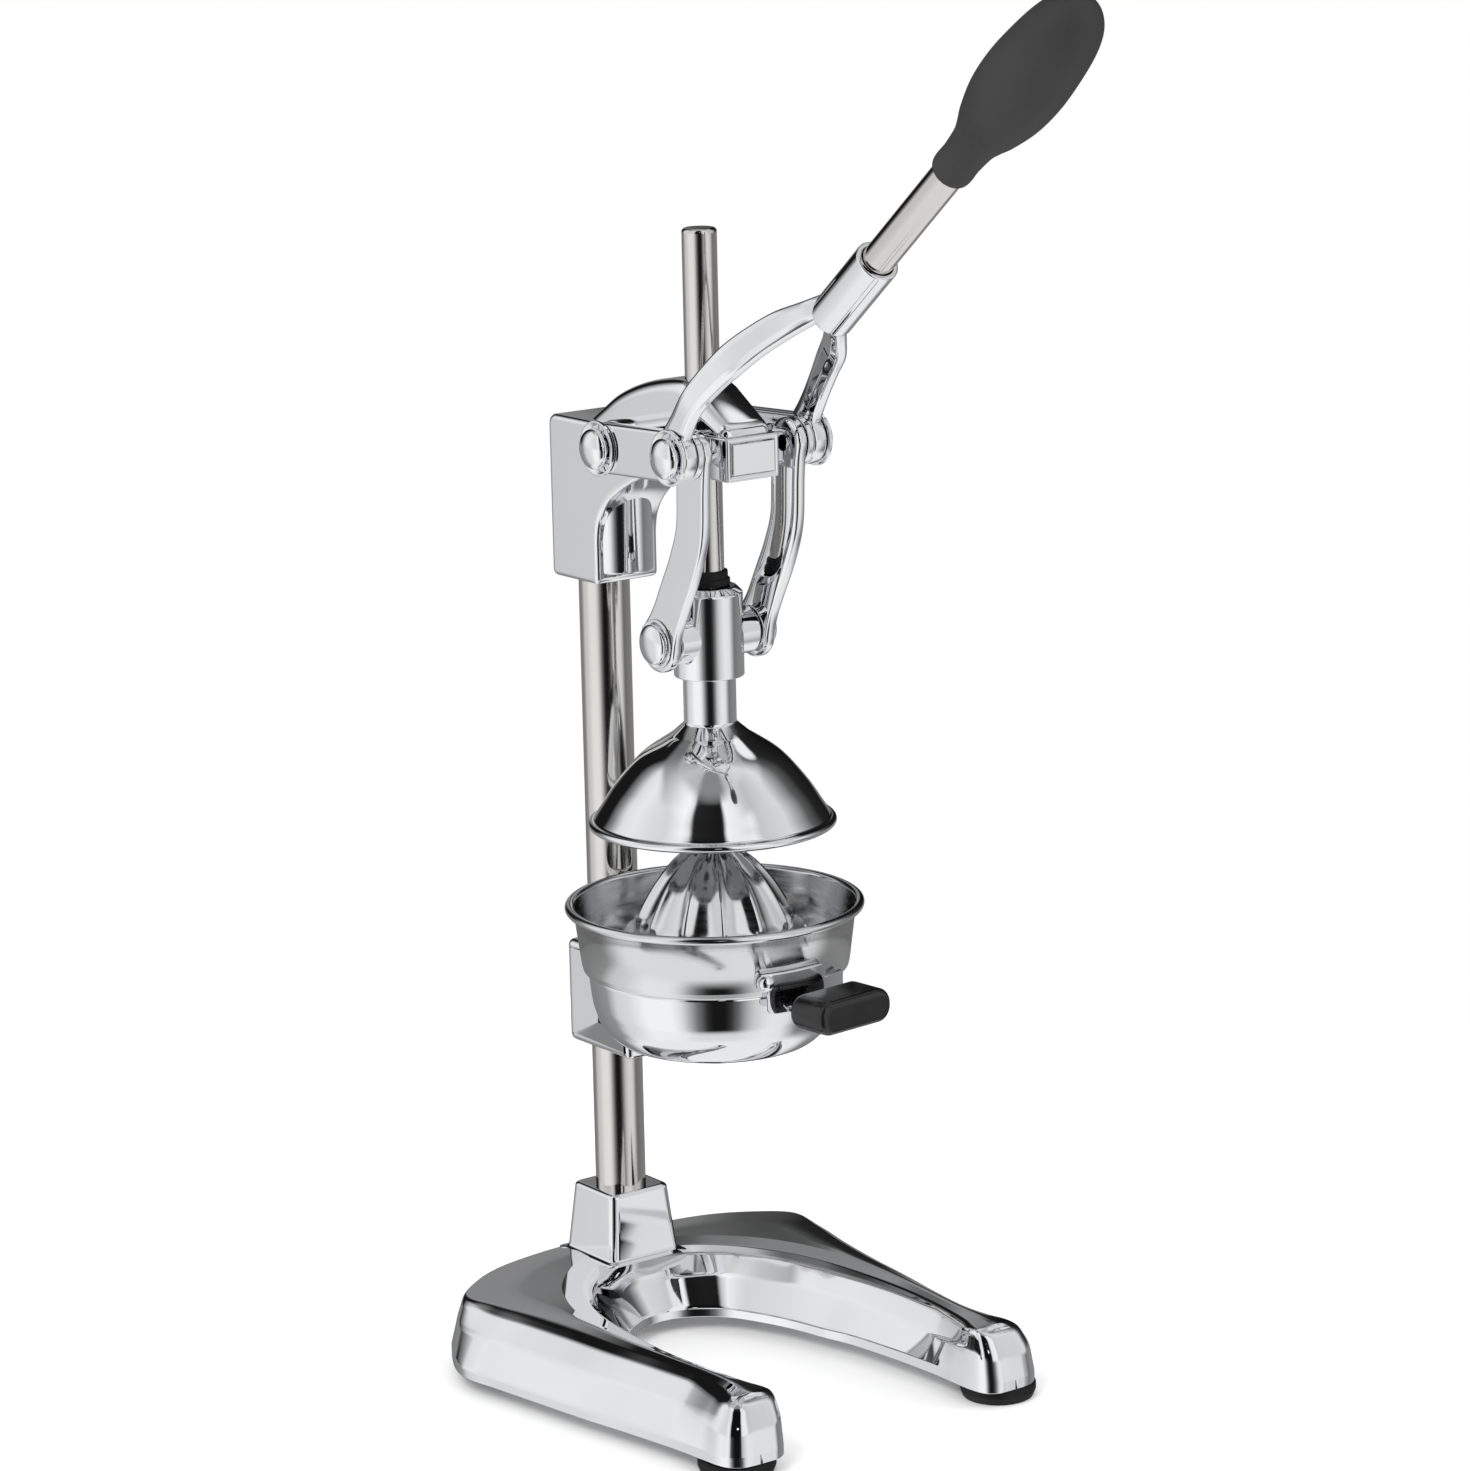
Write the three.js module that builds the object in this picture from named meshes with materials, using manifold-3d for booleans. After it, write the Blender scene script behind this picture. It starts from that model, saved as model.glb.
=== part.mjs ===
// Lever citrus juice press: a U-shaped base, a column, a head with a forked lever,
// a guided rod that drives a dome down, and a bowl with its reamer in a holder.
// Millimetres, +Z up, -Y to the front, the rod axis at x = 0, y = 0 while the parts are made.
import * as THREE from 'three';
import { mergeVertices } from 'three/addons/utils/BufferGeometryUtils.js';
import Module from 'manifold-3d';

const wasm = await Module();
wasm.setup();

// Fits and facets
const fitGap = 0.3;
const cutOverrun = 3;
const bigSides = 32;
const barSides = 18;
const pinSides = 10;
const curveSteps = 9;
const hexSides = 6;
const pinHeadSteps = 3;
const pedestalCornerSteps = 2;
const padEdgeSteps = 2;
const padCornerSteps = 4;
const reamerStepsPerRib = 4;

// Column and rod
const columnRadius = 10.4;
const columnSetback = 71.2;
const rodRadius = 6.9;
const rodTop = 466.5;
const rodTipRound = 1.6;

// Base casting
const footRadius = 15.3;
const footHeight = 6;
const footTaper = 1.2;
const baseHalfWidth = 99.5;
const baseBack = 100;
const baseLength = 210;
const baseTop = 33;
const baseLip = 4;
const baseEdgeDrop = 1.5;
const baseWall = 4;
const frontFootSideInset = 34.4;
const frontFootEndInset = 13.9;
const backFootSideInset = 25.5;
const backFootEndInset = 48;
const footBossRadius = 7;
const footScrewRadius = 2;
const footScrewHeadRadius = 4;
const footScrewHeadHeight = 1.6;
const footScrewRecess = 2.4;
const footScrewLength = 14;

// Pedestal and the bolt that holds the column
const pedestalTop = 61;
const pedestalHalfWidth = 14.5;
const pedestalSpread = 2.5;
const pedestalCorner = 3;
const pedestalFloor = 12;
const columnSeatHeight = 20;
const columnBoltRadius = 4;
const columnBoltReach = 24;
const columnBoltHeadRadius = 7.4;
const columnBoltHeadHeight = 5;
const columnWasherRadius = 9.5;
const columnWasherThickness = 1.5;

// Head casting
const headBottom = 319;
const headTop = 385.5;
const headHalfWidth = 15;
const headWallBehind = 4.9;
const headThroatSetback = 54;
const headThroatHeight = 25;
const headBoreTop = 371;
const headBulgeRadius = 13;
const headBulgeSetback = 59;
const headBulgeBottom = 323;
const noseFace = 32.3;
const noseHalfWidth = 12.7;
const noseBottom = 371.3;
const noseTop = 388.7;
const noseRoot = 3;
const humpHalfWidth = 11.8;
const humpTop = 407.8;
const humpBack = 63;
const hubRadius = 10.4;
const platePlay = 2.4;
const plateThickness = 1.2;
const plateRecess = 0.8;
const bushRadius = 9;
const bushLength = 30;
const setScrewRadius = 3;
const headScrewLift = 31;

// Pivots of the lever and the links, setback from the rod axis and height
const leverPivotSetback = 22.5;
const leverPivotHeight = 381;
const linkPivotReach = 25;
const linkPivotHeight = 383;
const crossPivotLift = 16;
const pinRadius = 4;
const pinHeadRadius = 8;
const pinHeadHeight = 4.6;
const crossPinHeadHeight = 3.3;
const pinHeadLand = 1;
const washerRadius = 11;
const washerThickness = 1.4;
const smallWasherRadius = 9.8;
const smallWasherThickness = 0.8;
const pinDepth = 10;

// Lever
const armInner = 28;
const armThickness = 6.3;
const armRadius = 10;
const leverRise = 39.9;
const leverAxisLift = 6.03;
const forkLength = 84;
const forkRise = 13.5;
const armBevel = 1.2;
const socketRadius = 8.7;
const socketEnd = 118.7;
const socketFloor = 90;
const leverRodRadius = 6.35;
const leverRodInGrip = 75;
const gripStart = 174.4;
const gripLength = 101.2;
const gripRadius = 16.6;

// Links
const linkInner = 19.5;
const linkThickness = 5.5;
const linkHalfWidth = 9;
const linkEyeRadius = 9.6;
const linkFootRadius = 11.6;

// Crosshead, bumper and dome
const crossheadRadius = 14;
const crossheadBottom = 289;
const crossheadHeight = 36.1;
const crossheadChamfer = 2.6;
const crossBossRadius = 9.5;
const crossScrewLift = 7.6;
const bumperRadius = 9.15;
const bumperHeight = 6;
const domeRadius = 49.6;
const domeRimHeight = 229.7;
const domeWall = 1.5;
const domeBead = 1.5;
const domeRoof = 5;
const domeNeckRadius = 10.5;
const domeNeckFlare = 2.6;
const rodSeatDepth = 19.6;

// Bowl holder
const cupRadius = 51.3;
const cupTop = 170;
const cupDepth = 30.5;
const cupWall = 2.5;
const cupOutletRadius = 22.3;
const clampHalfWidth = 14;
const clampWallBehind = 4.2;
const clampBottom = 122.5;
const clampTop = 166;
const clampReach = 43;
const clampRound = 1.4;
const holderScrewLift = 22.5;

// Bowl
const bowlRimRadius = 60;
const bowlRise = 26.1;
const bowlBead = 1.9;
const bowlWall = 1.2;
const bowlLedgeRadius = 53.8;
const bowlLedgeRise = 2.4;
const bowlMouthRadius = 56.4;
const bowlSeatGap = 0.5;
const spoutRadius = 9;
const spoutBottom = 131;

// Strainer and reamer
const strainerThickness = 1;
const strainerDomeRadius = 36;
const strainerRise = 14;
const strainerSlots = 18;
const strainerSlotWidth = 2.2;
const reamerRadius = 33;
const reamerHeight = 37;
const reamerRibs = 12;
const reamerRibDepth = 1.6;
const reamerRibFade = 2;
const reamerPegRadius = 11.5;
const reamerPegLength = 5;

// Bowl handle
const handleTurn = 6;
const gripPadWidth = 38;
const gripPadReach = 82;
const gripPadInner = 62.5;
const gripPadDrop = 13.8;
const gripPadHeight = 13.8;
const gripPadRound = 3;
const gripPadEnd = 6;
const strapThickness = 1.4;
const strapHeight = 7;
const strapLift = 2.7;
const strapStart = -25.5;
const strapEnd = 8;
const apronHalfAngle = 21;
const tangHalfWidth = 12;
const tangReach = 73.6;
const tangDrop = 9.6;
const tangThickness = 2.4;
const rivetAngle = -21.6;
const rivetRadius = 2;
const rivetHeadRadius = 3.2;
const rivetHeadHeight = 2.6;
const rivetTailRadius = 3;
const rivetTailHeight = 1.5;

// Outline of the base: width shares run over the half width, depth shares from the back to the front.
// Each row is outer foot, outer crest, inner crest and inner foot as width and depth, then crest height.
const baseStationShares = [
  [0, 0, 0, 0.043, 0, 0.171, 0, 0.262, 1],
  [0.28, 0.007, 0.25, 0.045, 0.12, 0.174, 0.09, 0.269, 1],
  [0.58, 0.038, 0.52, 0.067, 0.25, 0.205, 0.18, 0.295, 1],
  [0.8, 0.1, 0.71, 0.112, 0.35, 0.248, 0.256, 0.333, 1],
  [0.93, 0.183, 0.845, 0.175, 0.432, 0.297, 0.312, 0.386, 1],
  [1, 0.269, 0.815, 0.262, 0.505, 0.367, 0.357, 0.443, 1],
  [0.975, 0.362, 0.77, 0.357, 0.543, 0.429, 0.382, 0.486, 1],
  [0.935, 0.486, 0.73, 0.476, 0.568, 0.495, 0.407, 0.543, 1],
  [0.895, 0.608, 0.7, 0.608, 0.588, 0.608, 0.441, 0.607, 1],
  [0.85, 0.72, 0.67, 0.72, 0.588, 0.72, 0.47, 0.72, 1],
  [0.81, 0.835, 0.65, 0.833, 0.572, 0.833, 0.484, 0.833, 1],
  [0.795, 0.905, 0.66, 0.9, 0.558, 0.9, 0.483, 0.905, 1],
  [0.785, 0.955, 0.675, 0.932, 0.545, 0.932, 0.487, 0.955, 0.98],
  [0.76, 0.985, 0.685, 0.948, 0.548, 0.948, 0.51, 0.985, 0.96],
  [0.715, 1, 0.675, 0.957, 0.565, 0.957, 0.56, 1, 0.94],
];
const baseHollowRows = 12;
// Section of a leg between foot and crest: share of the way in, share of the rise
const baseFlankShares = [[0.42, 0.55], [0.8, 0.9]];

// Side outlines and profiles, as shares of the sizes named in each function
const headArchFootShare = 0.8;
const headArchShares = [[0.1, 0.97], [0.37, 0.87], [0.7, 0.63], [0.87, 0.42], [0.96, 0.22]];
const humpShares = [[0.85, 0.27], [0.68, 0.55], [0.45, 0.8], [0.2, 0.96], [0, 1], [-0.13, 0.88]];
const armShares = [
  [1, 0, 0.41, -0.81],
  [0.99, 0.12, 0.53, -0.39],
  [0.97, 0.26, 0.76, -0.09],
  [0.88, 0.42, 0.92, 0],
  [0.78, 0.56, 0.99, 0],
  [0.6, 0.69, 1, 0.06],
  [0.4, 0.81, 0.94, 0.06],
  [0.21, 0.905, 0.78, 0.04],
  [0, 1, 0.62, -0.03],
];
const linkBendShares = [[0.167, 0.038], [0.369, 0.088], [0.551, 0.08], [0.742, 0.045]];
const gripShares = [
  [0, 0.44], [0.015, 0.47], [0.04, 0.48], [0.2, 0.555], [0.3, 0.78], [0.42, 0.95],
  [0.52, 1], [0.62, 0.99], [0.8, 0.88], [0.9, 0.74], [0.96, 0.52], [0.99, 0.26], [1, 0],
];
const domeShares = [
  [0.952, 0.037], [0.899, 0.107], [0.77, 0.27], [0.577, 0.456], [0.367, 0.581], [0.248, 0.642],
];
const cupShares = [[0.682, 0], [0.78, 0.049], [0.906, 0.262], [0.959, 0.492], [0.98, 0.672], [1, 1]];
const rivetHeadShares = [0.8, 0.7];
const reamerShares = [[1, 0], [0.97, 0.1], [0.86, 0.32], [0.68, 0.58], [0.44, 0.82], [0.2, 0.96]];

// Places that follow from the sizes above
const baseUnder = footHeight + fitGap;
const armOuter = armInner + armThickness;
const linkOuter = linkInner + linkThickness;
const headBack = columnSetback + columnRadius + headWallBehind;
const clampBack = columnSetback + columnRadius + clampWallBehind;
const outerHeadBase = armOuter + washerThickness + 2 * fitGap;
const crossHeadBase = linkOuter + smallWasherThickness + 2 * fitGap;
const leverAngle = THREE.MathUtils.degToRad(leverRise);
const domeNeckTop = crossheadBottom - fitGap;
const bowlFloorGap = cupWall + bowlSeatGap;
const strainerSeat = cupTop + fitGap + bowlWall + fitGap;
const ledgeHeight = cupTop + fitGap;
const bowlRimHeight = ledgeHeight + bowlRise;
const strapBottom = ledgeHeight + strapLift;
const gripPadBottom = strapBottom - gripPadDrop;
const crossheadTop = crossheadBottom + crossheadHeight;
const crossPivotHeight = crossheadBottom + crossPivotLift;
const crossScrewHeight = crossheadBottom + crossScrewLift;
const headScrewHeight = headBottom + headScrewLift;
const holderScrewHeight = clampBottom + holderScrewLift;
const frontFootSpread = baseHalfWidth - frontFootSideInset;
const frontFootReach = baseLength - baseBack - frontFootEndInset;
const backFootSpread = baseHalfWidth - backFootSideInset;
const backFootSetback = baseBack - backFootEndInset;

const chromeColour = 0xdfe2e5;
const steelColour = 0xc9c6c0;
const rubberColour = 0x17181a;
const gripColour = 0x383839;
const padColour = 0x1b1c1e;
const bronzeColour = 0xb08d57;

const press = new THREE.Group();

function finish(colour, roughness, metalness) {
  return new THREE.MeshStandardMaterial({ color: colour, roughness, metalness });
}

const chrome = () => finish(chromeColour, 0.08, 1);
const steel = () => finish(steelColour, 0.25, 1);
const rubber = () => finish(rubberColour, 0.85, 0);
const softGrip = () => finish(gripColour, 0.75, 0);
const padPlastic = () => finish(padColour, 0.3, 0);
const bronze = () => finish(bronzeColour, 0.4, 1);

// A closed triangle mesh from points and triangles, turned so that its faces point out
function closedGeometry(points, triangles) {
  const positions = new Float32Array(points.flatMap((p) => [p.x, p.y, p.z]));
  let volume = 0;
  const cross = new THREE.Vector3();
  for (const [a, b, c] of triangles) {
    volume += cross.crossVectors(points[b], points[c]).dot(points[a]);
  }
  const facing = volume < 0 ? triangles.map(([a, b, c]) => [a, c, b]) : triangles;
  const geometry = new THREE.BufferGeometry();
  geometry.setAttribute('position', new THREE.BufferAttribute(positions, 3));
  geometry.setIndex(facing.flat());
  return geometry;
}

// Joins shared corners and drops triangles that have collapsed to a line
function tidyGeometry(geometry) {
  const bare = geometry.clone();
  bare.deleteAttribute('normal');
  bare.deleteAttribute('uv');
  const merged = mergeVertices(bare);
  const index = merged.index.array;
  const kept = [];
  for (let i = 0; i < index.length; i += 3) {
    const [a, b, c] = [index[i], index[i + 1], index[i + 2]];
    if (a !== b && b !== c && c !== a) kept.push(a, b, c);
  }
  merged.setIndex(kept);
  return merged;
}

function solidOf(geometry) {
  const tidy = tidyGeometry(geometry);
  return new wasm.Manifold(new wasm.Mesh({
    numProp: 3,
    vertProperties: new Float32Array(tidy.attributes.position.array),
    triVerts: new Uint32Array(tidy.index.array),
  }));
}

function geometryOf(solid) {
  const mesh = solid.getMesh();
  const geometry = new THREE.BufferGeometry();
  geometry.setAttribute('position', new THREE.BufferAttribute(new Float32Array(mesh.vertProperties), 3));
  geometry.setIndex(Array.from(mesh.triVerts));
  return geometry;
}

function joined(...geometries) {
  return geometryOf(geometries.map(solidOf).reduce((whole, next) => whole.add(next)));
}

function cut(geometry, ...tools) {
  return geometryOf(tools.map(solidOf).reduce((whole, tool) => whole.subtract(tool), solidOf(geometry)));
}

function addPiece(name, geometry, material, parent = press) {
  const closed = tidyGeometry(geometry);
  closed.computeVertexNormals();
  const mesh = new THREE.Mesh(closed, material);
  mesh.name = name;
  parent.add(mesh);
  return mesh;
}

// A solid through rings that all have the same number of corners, with a fan on each end
function loft(rings) {
  const count = rings[0].length;
  const points = rings.flat();
  const triangles = [];
  for (let r = 0; r + 1 < rings.length; r += 1) {
    for (let i = 0; i < count; i += 1) {
      const next = (i + 1) % count;
      const [a, b] = [r * count + i, r * count + next];
      triangles.push([a, b, b + count], [a, b + count, a + count]);
    }
  }
  const ends = [[0, 1], [rings.length - 1, 0]];
  for (const [r, flip] of ends) {
    const centre = points.length;
    points.push(rings[r].reduce((sum, p) => sum.add(p), new THREE.Vector3()).divideScalar(count));
    for (let i = 0; i < count; i += 1) {
      const pair = [r * count + i, r * count + ((i + 1) % count)];
      triangles.push(flip ? [centre, pair[1], pair[0]] : [centre, pair[0], pair[1]]);
    }
  }
  return closedGeometry(points, triangles);
}

// A turned piece about Z; the profile holds [radius, height] and runs outward first, then up
function turned(profile, sides) {
  const points = profile.map(([radius, height]) => new THREE.Vector2(radius, height));
  return new THREE.LatheGeometry(points, sides).rotateX(Math.PI / 2);
}

function ring(inner, outer, bottom, top, sides) {
  return turned([[inner, bottom], [outer, bottom], [outer, top], [inner, top], [inner, bottom]], sides);
}

function disc(radius, bottom, top, sides) {
  return turned([[0, bottom], [radius, bottom], [radius, top], [0, top]], sides);
}

// A disc whose axis runs along X between two distances from the middle, at a setback and height
function crossDisc(radius, from, to, setback, height, sides = pinSides) {
  return disc(radius, from, to, sides).rotateY(Math.PI / 2).translate(0, setback, height);
}

// A disc whose axis runs along Y
function depthDisc(radius, from, to, height, sides = pinSides) {
  return disc(radius, from, to, sides).rotateX(-Math.PI / 2).translate(0, 0, height);
}

function box(x0, x1, y0, y1, z0, z1) {
  const [width, depth, height] = [x1 - x0, y1 - y0, z1 - z0];
  return new THREE.BoxGeometry(width, depth, height)
    .translate(x0 + width / 2, y0 + depth / 2, z0 + height / 2);
}

// A shape drawn in setback and height, given a width along X and rounded edges
function sideExtrusion(shape, from, to, bevel = 0) {
  const options = {
    depth: to - from - 2 * bevel,
    steps: 1,
    curveSegments: curveSteps,
    bevelEnabled: bevel > 0,
    bevelThickness: bevel,
    bevelSize: bevel,
    bevelOffset: -bevel,
    bevelSegments: 1,
  };
  const toSide = new THREE.Matrix4().makeBasis(
    new THREE.Vector3(0, 1, 0), new THREE.Vector3(0, 0, 1), new THREE.Vector3(1, 0, 0));
  return new THREE.ExtrudeGeometry(shape, options).applyMatrix4(toSide).translate(from + bevel, 0, 0);
}

// Moves each point of a [radius, height] line sideways, to the left of its direction
function offsetLine(line, distance) {
  return line.map((point, i) => {
    const before = line[Math.max(i - 1, 0)];
    const after = line[Math.min(i + 1, line.length - 1)];
    const [dr, dz] = [after[0] - before[0], after[1] - before[1]];
    const length = Math.hypot(dr, dz);
    return [point[0] - (distance * dz) / length, point[1] + (distance * dr) / length];
  });
}

function roundedRectangle(halfWidth, halfDepth, corner) {
  const shape = new THREE.Shape();
  const [w, d, r] = [halfWidth, halfDepth, corner];
  shape.moveTo(r - w, -d);
  shape.lineTo(w - r, -d);
  shape.absarc(w - r, r - d, r, -Math.PI / 2, 0);
  shape.lineTo(w, d - r);
  shape.absarc(w - r, d - r, r, 0, Math.PI / 2);
  shape.lineTo(r - w, d);
  shape.absarc(r - w, d - r, r, Math.PI / 2, Math.PI);
  shape.lineTo(-w, r - d);
  shape.absarc(r - w, r - d, r, Math.PI, 1.5 * Math.PI);
  return shape;
}

// One section of the base casting, moved in and down by an inset for the hollow
function baseSection(row, side, inset) {
  const [outerFoot, outerCrest, innerCrest, innerFoot] = [0, 1, 2, 3].map((i) => new THREE.Vector2(
    row[2 * i] * baseHalfWidth * side, baseBack - row[2 * i + 1] * baseLength));
  const inward = innerFoot.clone().sub(outerFoot).normalize().multiplyScalar(inset);
  outerFoot.add(inward);
  outerCrest.addScaledVector(inward, 0.5);
  innerCrest.addScaledVector(inward, -0.5);
  innerFoot.sub(inward);
  const bottom = inset > 0 ? baseUnder - cutOverrun : baseUnder;
  const lip = baseUnder + baseLip;
  const top = (baseTop - lip) * row[8] + lip - inset;
  const edge = top - baseEdgeDrop;
  const at = (p, z) => new THREE.Vector3(p.x, p.y, z);
  const flank = (foot, crest) => baseFlankShares.map(([inShare, upShare]) => at(
    foot.clone().lerp(crest, inShare), lip + (edge - lip) * upShare));
  const middle = outerCrest.clone().lerp(innerCrest, 0.5);
  return [
    at(outerFoot, bottom), at(outerFoot, lip), ...flank(outerFoot, outerCrest), at(outerCrest, edge),
    at(middle, top), at(innerCrest, edge), ...flank(innerFoot, innerCrest).reverse(),
    at(innerFoot, lip), at(innerFoot, bottom),
  ];
}

function baseShell(rows, inset) {
  const right = rows.map((row) => baseSection(row, 1, inset));
  const left = rows.slice(1).reverse().map((row) => baseSection(row, -1, inset));
  return loft([...left, ...right]);
}

function pedestalBlock() {
  const corners = (spread) => {
    const shape = roundedRectangle(pedestalHalfWidth + spread, pedestalHalfWidth + spread, pedestalCorner);
    return shape.getPoints(pedestalCornerSteps).slice(0, -1);
  };
  const level = (spread, height) => corners(spread).map(
    (p) => new THREE.Vector3(p.x, p.y + columnSetback, height));
  return loft([level(pedestalSpread, pedestalFloor), level(pedestalSpread, baseTop), level(0, pedestalTop)]);
}

const footPlaces = [
  ['foot_front_left', -frontFootSpread, -frontFootReach],
  ['foot_front_right', frontFootSpread, -frontFootReach],
  ['foot_back_left', -backFootSpread, backFootSetback],
  ['foot_back_right', backFootSpread, backFootSetback],
];

function addBase() {
  const outside = baseShell(baseStationShares, 0);
  const hollow = baseShell(baseStationShares.slice(0, baseHollowRows), baseWall);
  const bosses = footPlaces.slice(2).map(([, x, y]) => disc(
    footBossRadius, baseUnder, baseTop - baseWall, pinSides).translate(x, y, 0));
  const shell = joined(cut(outside, hollow), pedestalBlock(), ...bosses);
  const screwHoles = footPlaces.map(([, x, y]) => disc(
    footScrewRadius + fitGap, baseUnder - cutOverrun, footScrewRecess + footScrewLength + fitGap, pinSides,
  ).translate(x, y, 0));
  const socket = disc(columnRadius + fitGap, columnSeatHeight, pedestalTop + cutOverrun, barSides);
  const boltHole = disc(
    columnBoltRadius + fitGap, pedestalFloor - cutOverrun, columnSeatHeight + cutOverrun, pinSides);
  const seat = [socket, boltHole].map((tool) => tool.translate(0, columnSetback, 0));
  addPiece('base_casting', cut(shell, ...seat, ...screwHoles), chrome());
}

function addFeet() {
  for (const [name, x, y] of footPlaces) {
    const hole = footScrewRadius + fitGap;
    const recess = footScrewHeadRadius + fitGap;
    const foot = turned([
      [hole, footScrewRecess], [recess, footScrewRecess], [recess, 0], [footRadius - footTaper, 0],
      [footRadius, footHeight / 2], [footRadius, footHeight], [hole, footHeight], [hole, footScrewRecess],
    ], barSides).translate(x, y, 0);
    addPiece(name, foot, rubber());
    const headTopLevel = footScrewRecess - fitGap;
    const headBottomLevel = headTopLevel - footScrewHeadHeight;
    const screw = turned([
      [0, headBottomLevel], [footScrewHeadRadius, headBottomLevel], [footScrewHeadRadius, headTopLevel],
      [footScrewRadius, headTopLevel], [footScrewRadius, footScrewLength], [0, footScrewLength],
    ], pinSides).translate(x, y, 0);
    addPiece(name.replace('foot', 'foot_screw'), screw, steel());
  }
}

function addColumn() {
  const bottom = columnSeatHeight + fitGap;
  const top = headBoreTop - fitGap;
  const boltTop = pedestalFloor + columnBoltReach;
  const bar = disc(columnRadius, bottom, top, bigSides);
  const thread = disc(columnBoltRadius + fitGap, bottom - cutOverrun, boltTop + fitGap, pinSides);
  addPiece('column', cut(bar, thread).translate(0, columnSetback, 0), steel());
  const washerTop = pedestalFloor - fitGap;
  const washerBottom = washerTop - columnWasherThickness;
  const washer = ring(columnBoltRadius + fitGap, columnWasherRadius, washerBottom, washerTop, barSides);
  addPiece('column_washer', washer.translate(0, columnSetback, 0), steel());
  const headLevel = washerBottom - fitGap;
  const head = disc(columnBoltHeadRadius, headLevel - columnBoltHeadHeight, headLevel, hexSides);
  const shank = disc(columnBoltRadius, headLevel - columnBoltHeadHeight / 2, boltTop, pinSides);
  addPiece('column_bolt', joined(head, shank).translate(0, columnSetback, 0), steel());
}

function headSlab() {
  const archFoot = headBottom + headThroatHeight * headArchFootShare;
  const archRun = headThroatSetback - noseRoot;
  const arch = headArchShares.map(([back, up]) => new THREE.Vector2(
    noseRoot + archRun * back, archFoot + (noseBottom - archFoot) * up));
  const front = noseRoot - noseHalfWidth;
  const outline = [
    new THREE.Vector2(headBack, headBottom), new THREE.Vector2(headBack, headTop),
    new THREE.Vector2(front, headTop), new THREE.Vector2(front, noseBottom), ...arch,
    new THREE.Vector2(headThroatSetback, archFoot), new THREE.Vector2(headThroatSetback, headBottom),
  ];
  return sideExtrusion(new THREE.Shape(outline), -headHalfWidth, headHalfWidth);
}

function headHump() {
  const rise = humpTop - headTop;
  const crest = humpShares.map(([back, up]) => new THREE.Vector2(humpBack * back, headTop + rise * up));
  const outline = [
    new THREE.Vector2(-noseFace, noseTop - cutOverrun), new THREE.Vector2(humpBack, headTop - cutOverrun),
    new THREE.Vector2(humpBack, headTop), ...crest, new THREE.Vector2(-noseFace, noseTop),
  ];
  return sideExtrusion(new THREE.Shape(outline), -humpHalfWidth, humpHalfWidth);
}

function addHead() {
  const nose = sideExtrusion(new THREE.Shape([
    new THREE.Vector2(-noseFace, noseBottom), new THREE.Vector2(noseRoot, noseBottom),
    new THREE.Vector2(noseRoot, noseTop), new THREE.Vector2(-noseFace, noseTop),
  ]), -noseHalfWidth, noseHalfWidth, fitGap);
  const bulge = disc(headBulgeRadius, headBulgeBottom, noseBottom, barSides).translate(0, headBulgeSetback, 0);
  const hub = crossDisc(hubRadius, fitGap - armInner, armInner - fitGap,
    leverPivotSetback, leverPivotHeight, barSides);
  const body = joined(headSlab(), headHump(), nose, bulge, hub);
  const bore = disc(columnRadius + fitGap, headBottom - cutOverrun, headBoreTop, bigSides)
    .translate(0, columnSetback, 0);
  const rodHole = disc(rodRadius + fitGap, noseBottom - cutOverrun, humpTop + cutOverrun, barSides);
  const bushHole = disc(bushRadius + fitGap, noseBottom - cutOverrun, noseBottom + bushLength, barSides);
  const pinHoles = [[armInner - pinDepth, armInner], [-armInner, pinDepth - armInner]].map(
    ([from, to]) => crossDisc(pinRadius + fitGap, from, to, leverPivotSetback, leverPivotHeight));
  const screwHole = depthDisc(
    setScrewRadius + fitGap, columnSetback, headBack + cutOverrun, headScrewHeight);
  const plateBed = box(-noseHalfWidth + platePlay, noseHalfWidth - platePlay, -noseFace - cutOverrun,
    -noseFace + plateRecess, noseBottom + platePlay, noseTop - platePlay);
  addPiece('head_casting', cut(body, bore, rodHole, bushHole, ...pinHoles, screwHole, plateBed), chrome());
  const margin = platePlay + fitGap;
  const plateBack = plateRecess - fitGap;
  addPiece('nose_plate', box(-noseHalfWidth + margin, noseHalfWidth - margin,
    -noseFace + plateBack - plateThickness, -noseFace + plateBack,
    noseBottom + margin, noseTop - margin), chrome());
  addPiece('guide_bush', ring(rodRadius + fitGap, bushRadius, noseBottom, noseBottom + bushLength - fitGap,
    barSides), bronze());
  addSetScrew('head_set_screw', columnSetback + columnRadius, headBack, headScrewHeight);
}

// A grub screw along Y with a six-sided socket, from the bar that it presses to the outer face
function addSetScrew(name, from, to, height) {
  const start = from + fitGap;
  const screw = depthDisc(setScrewRadius, start, to - fitGap, height);
  const socket = depthDisc(setScrewRadius / 2, (start + to) / 2, to + cutOverrun, height, hexSides);
  addPiece(name, cut(screw, socket), steel());
}

function addPin(name, side, base, end, setback, height, crown = pinHeadHeight) {
  const profile = [
    [0, end], [pinRadius, end], [pinRadius, base], [pinHeadRadius, base], [pinHeadRadius, base + pinHeadLand],
  ];
  for (let i = 1; i <= pinHeadSteps; i += 1) {
    const turn = (i * Math.PI) / (2 * pinHeadSteps);
    profile.push([pinHeadRadius * Math.cos(turn),
      base + pinHeadLand + (crown - pinHeadLand) * Math.sin(turn)]);
  }
  profile[profile.length - 1][0] = 0;
  const pin = turned(profile, pinSides).rotateY((side * Math.PI) / 2).translate(0, setback, height);
  addPiece(name, pin, chrome());
}

function addWasher(name, side, radius, from, to, setback, height) {
  const washer = ring(pinRadius + fitGap, radius, from, to, pinSides);
  addPiece(name, washer.rotateY((side * Math.PI) / 2).translate(0, setback, height), chrome());
}

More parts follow.
